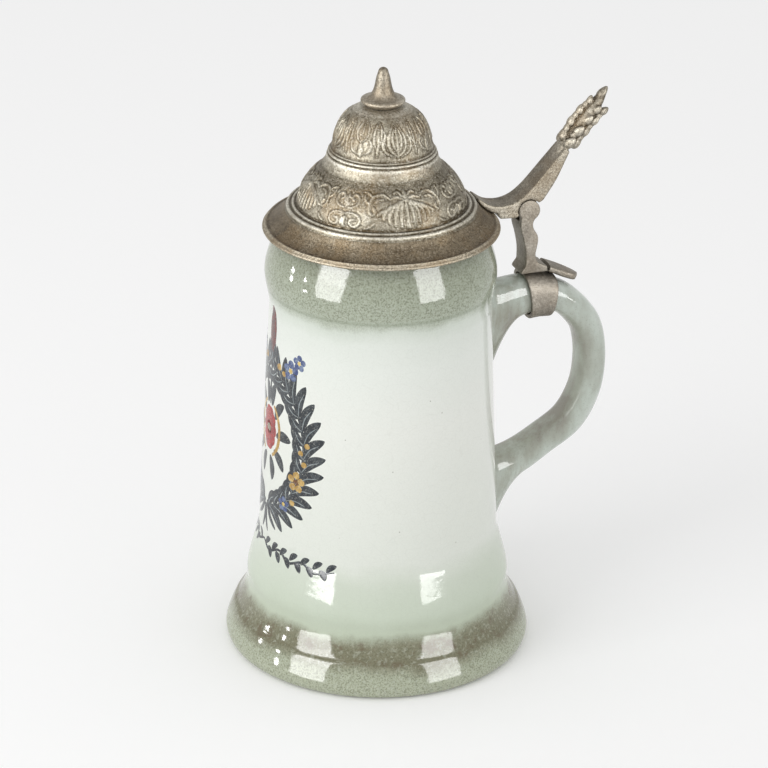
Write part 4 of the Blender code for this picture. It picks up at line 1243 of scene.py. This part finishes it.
def head_lobes():
    """Leaves in pairs up both edges of the head, with buds on its face and back, large and
    small by turns."""
    shells = []
    for k, t in enumerate(np.linspace(0.0, 0.86, HEAD_ROWS)):
        x = PIVOT_X + 15.4 + 12.2 * t
        z = PIVOT_Z + 23.4 + 14.4 * t - 2.2 * t * t
        size = (1.0 - 0.3 * t) * (0.92 if k % 2 == 0 else 0.7)
        out = 1.75 + 2.2 * t * (1.25 - t)
        for side in (-1, 1):
            edge_place, back_place = (x - 0.6, side * 4.0 * size, z), (x + 1.5, side * 2.4, z - 0.6)
            shells.append(lobe(edge_place, (1.9 * size, 1.7 * size, 2.9 * size), 40.0, side * 26.0))
            shells.append(lobe(back_place, (1.5 * size, 1.9 * size, 2.3 * size), 50.0, side * 14.0))
        face_place, spine_place = (x - out, 0.0, z + 1.2 * out), (x + 3.1, 0.0, z - 1.6)
        shells.append(lobe(face_place, (1.6 * size, 2.2 * size, 2.7 * size), 22.0, 0.0))
        shells.append(lobe(spine_place, (1.9 * size, 2.2 * size, 2.7 * size), 58.0, 0.0))
    shells.append(lobe((PIVOT_X + 28.0, 0.0, PIVOT_Z + 39.4), (1.4, 1.8, 2.8), 42.0, 0.0))
    return shells


print(f"{len(head_lobes())} cast leaves and buds")

# %% Fusing the casting
KNUCKLE_HALF = HINGE_HALF - EAR_THICK - 0.3
BORE_RADIUS = 1.5
VOXEL = 0.32
knuckle = slab(at_pivot(arc((0.0, 0.0), EAR_RADIUS, 0.0, 350.0, 35)), KNUCKLE_HALF, 0.3)
arm, head_core = slab(at_pivot(arm_outline), HINGE_HALF, 0.5), tube(sections(head_line, 32, 2.2))
shells = [arm, knuckle, head_core, *head_lobes()]
lift = face_outwards(make_mesh("thumb_lift_casting", joined(shells)))
fuse = lift.modifiers.new("fuse", "REMESH")
fuse.mode, fuse.voxel_size, fuse.use_smooth_shade = "VOXEL", VOXEL * MM, True
soften = lift.modifiers.new("soften", "SMOOTH")
soften.factor, soften.iterations = 0.4, 1
apply_modifiers(lift)
bore = slab(at_pivot(arc((0.0, 0.0), BORE_RADIUS, 0.0, 348.0, 29)), 12.0, 0.1)
carve(lift, face_outwards(make_mesh("bore_tool", bore)))
print(f"thumb lift fused from {len(shells)} shells")


# %% Relief of the thumb lift
ARM_END, TIP_START, TIP_LENGTH = 38.0, 58.0, 8.0


def proudness(piece, rounds=16):
    """How far each point stands out from its smoothed surroundings: the smooth place is the
    average of its neighbours' smooth places, taken again and again."""
    places, normals = read_points(piece)
    ends = np.empty(len(piece.data.edges) * 2, np.int32)
    piece.data.edges.foreach_get("vertices", ends)
    a, b = ends.reshape(-1, 2).T
    degree = np.bincount(ends, minlength=len(places))[:, None]
    smooth = places
    for _ in range(rounds):
        sums = [np.bincount(a, column[b], len(places)) + np.bincount(b, column[a], len(places))
                for column in smooth.T]
        smooth = np.stack(sums, axis=1) / degree
    return np.sum((places - smooth) * normals, axis=1)


places, normals = read_points(lift)
places -= (PIVOT_X, 0.0, PIVOT_Z)
outward_and_up = places[:, 0] + places[:, 2]
on_arm = outward_and_up < ARM_END
facing_up = np.clip(normals[:, 2] - 0.2, 0.0, 0.5)
standing_out = np.clip(proudness(lift) * 1.6, -0.4, 0.4)
near_tip = np.clip((outward_and_up - TIP_START) / TIP_LENGTH, 0.0, 1.0)
lift_relief = np.where(on_arm, 0.52 - 0.24 * facing_up, 0.33 + standing_out - 0.3 * near_tip)
mark_points(lift, "relief", lift_relief)
lift.data.shade_smooth()
settle(lift, cast_pewter, "lid", "cast_pewter", "thumb_lift")

# %% [markdown]
# The pin is riveted over and filed flush, so it hardly shows. A bore and a headed pin would
# draw a ring that such a hinge doesn't have, so the ears stay whole and a plain rod stands
# inside them, just short of their outer faces.

# %% Hinge pin
PIN_RADIUS = 1.25
PIN_HALF = HINGE_HALF - 0.12
rivet = slab(at_pivot(arc((0.0, 0.0), PIN_RADIUS, 0.0, 350.0, 35)), PIN_HALF, 0.1, spacing=0.25)
pin = face_outwards(make_mesh("hinge_rivet", rivet))
mark_points(pin, "relief", FILED_RELIEF)
settle(pin, plain_pewter, "mug", "pin_metal", "hinge_pin")
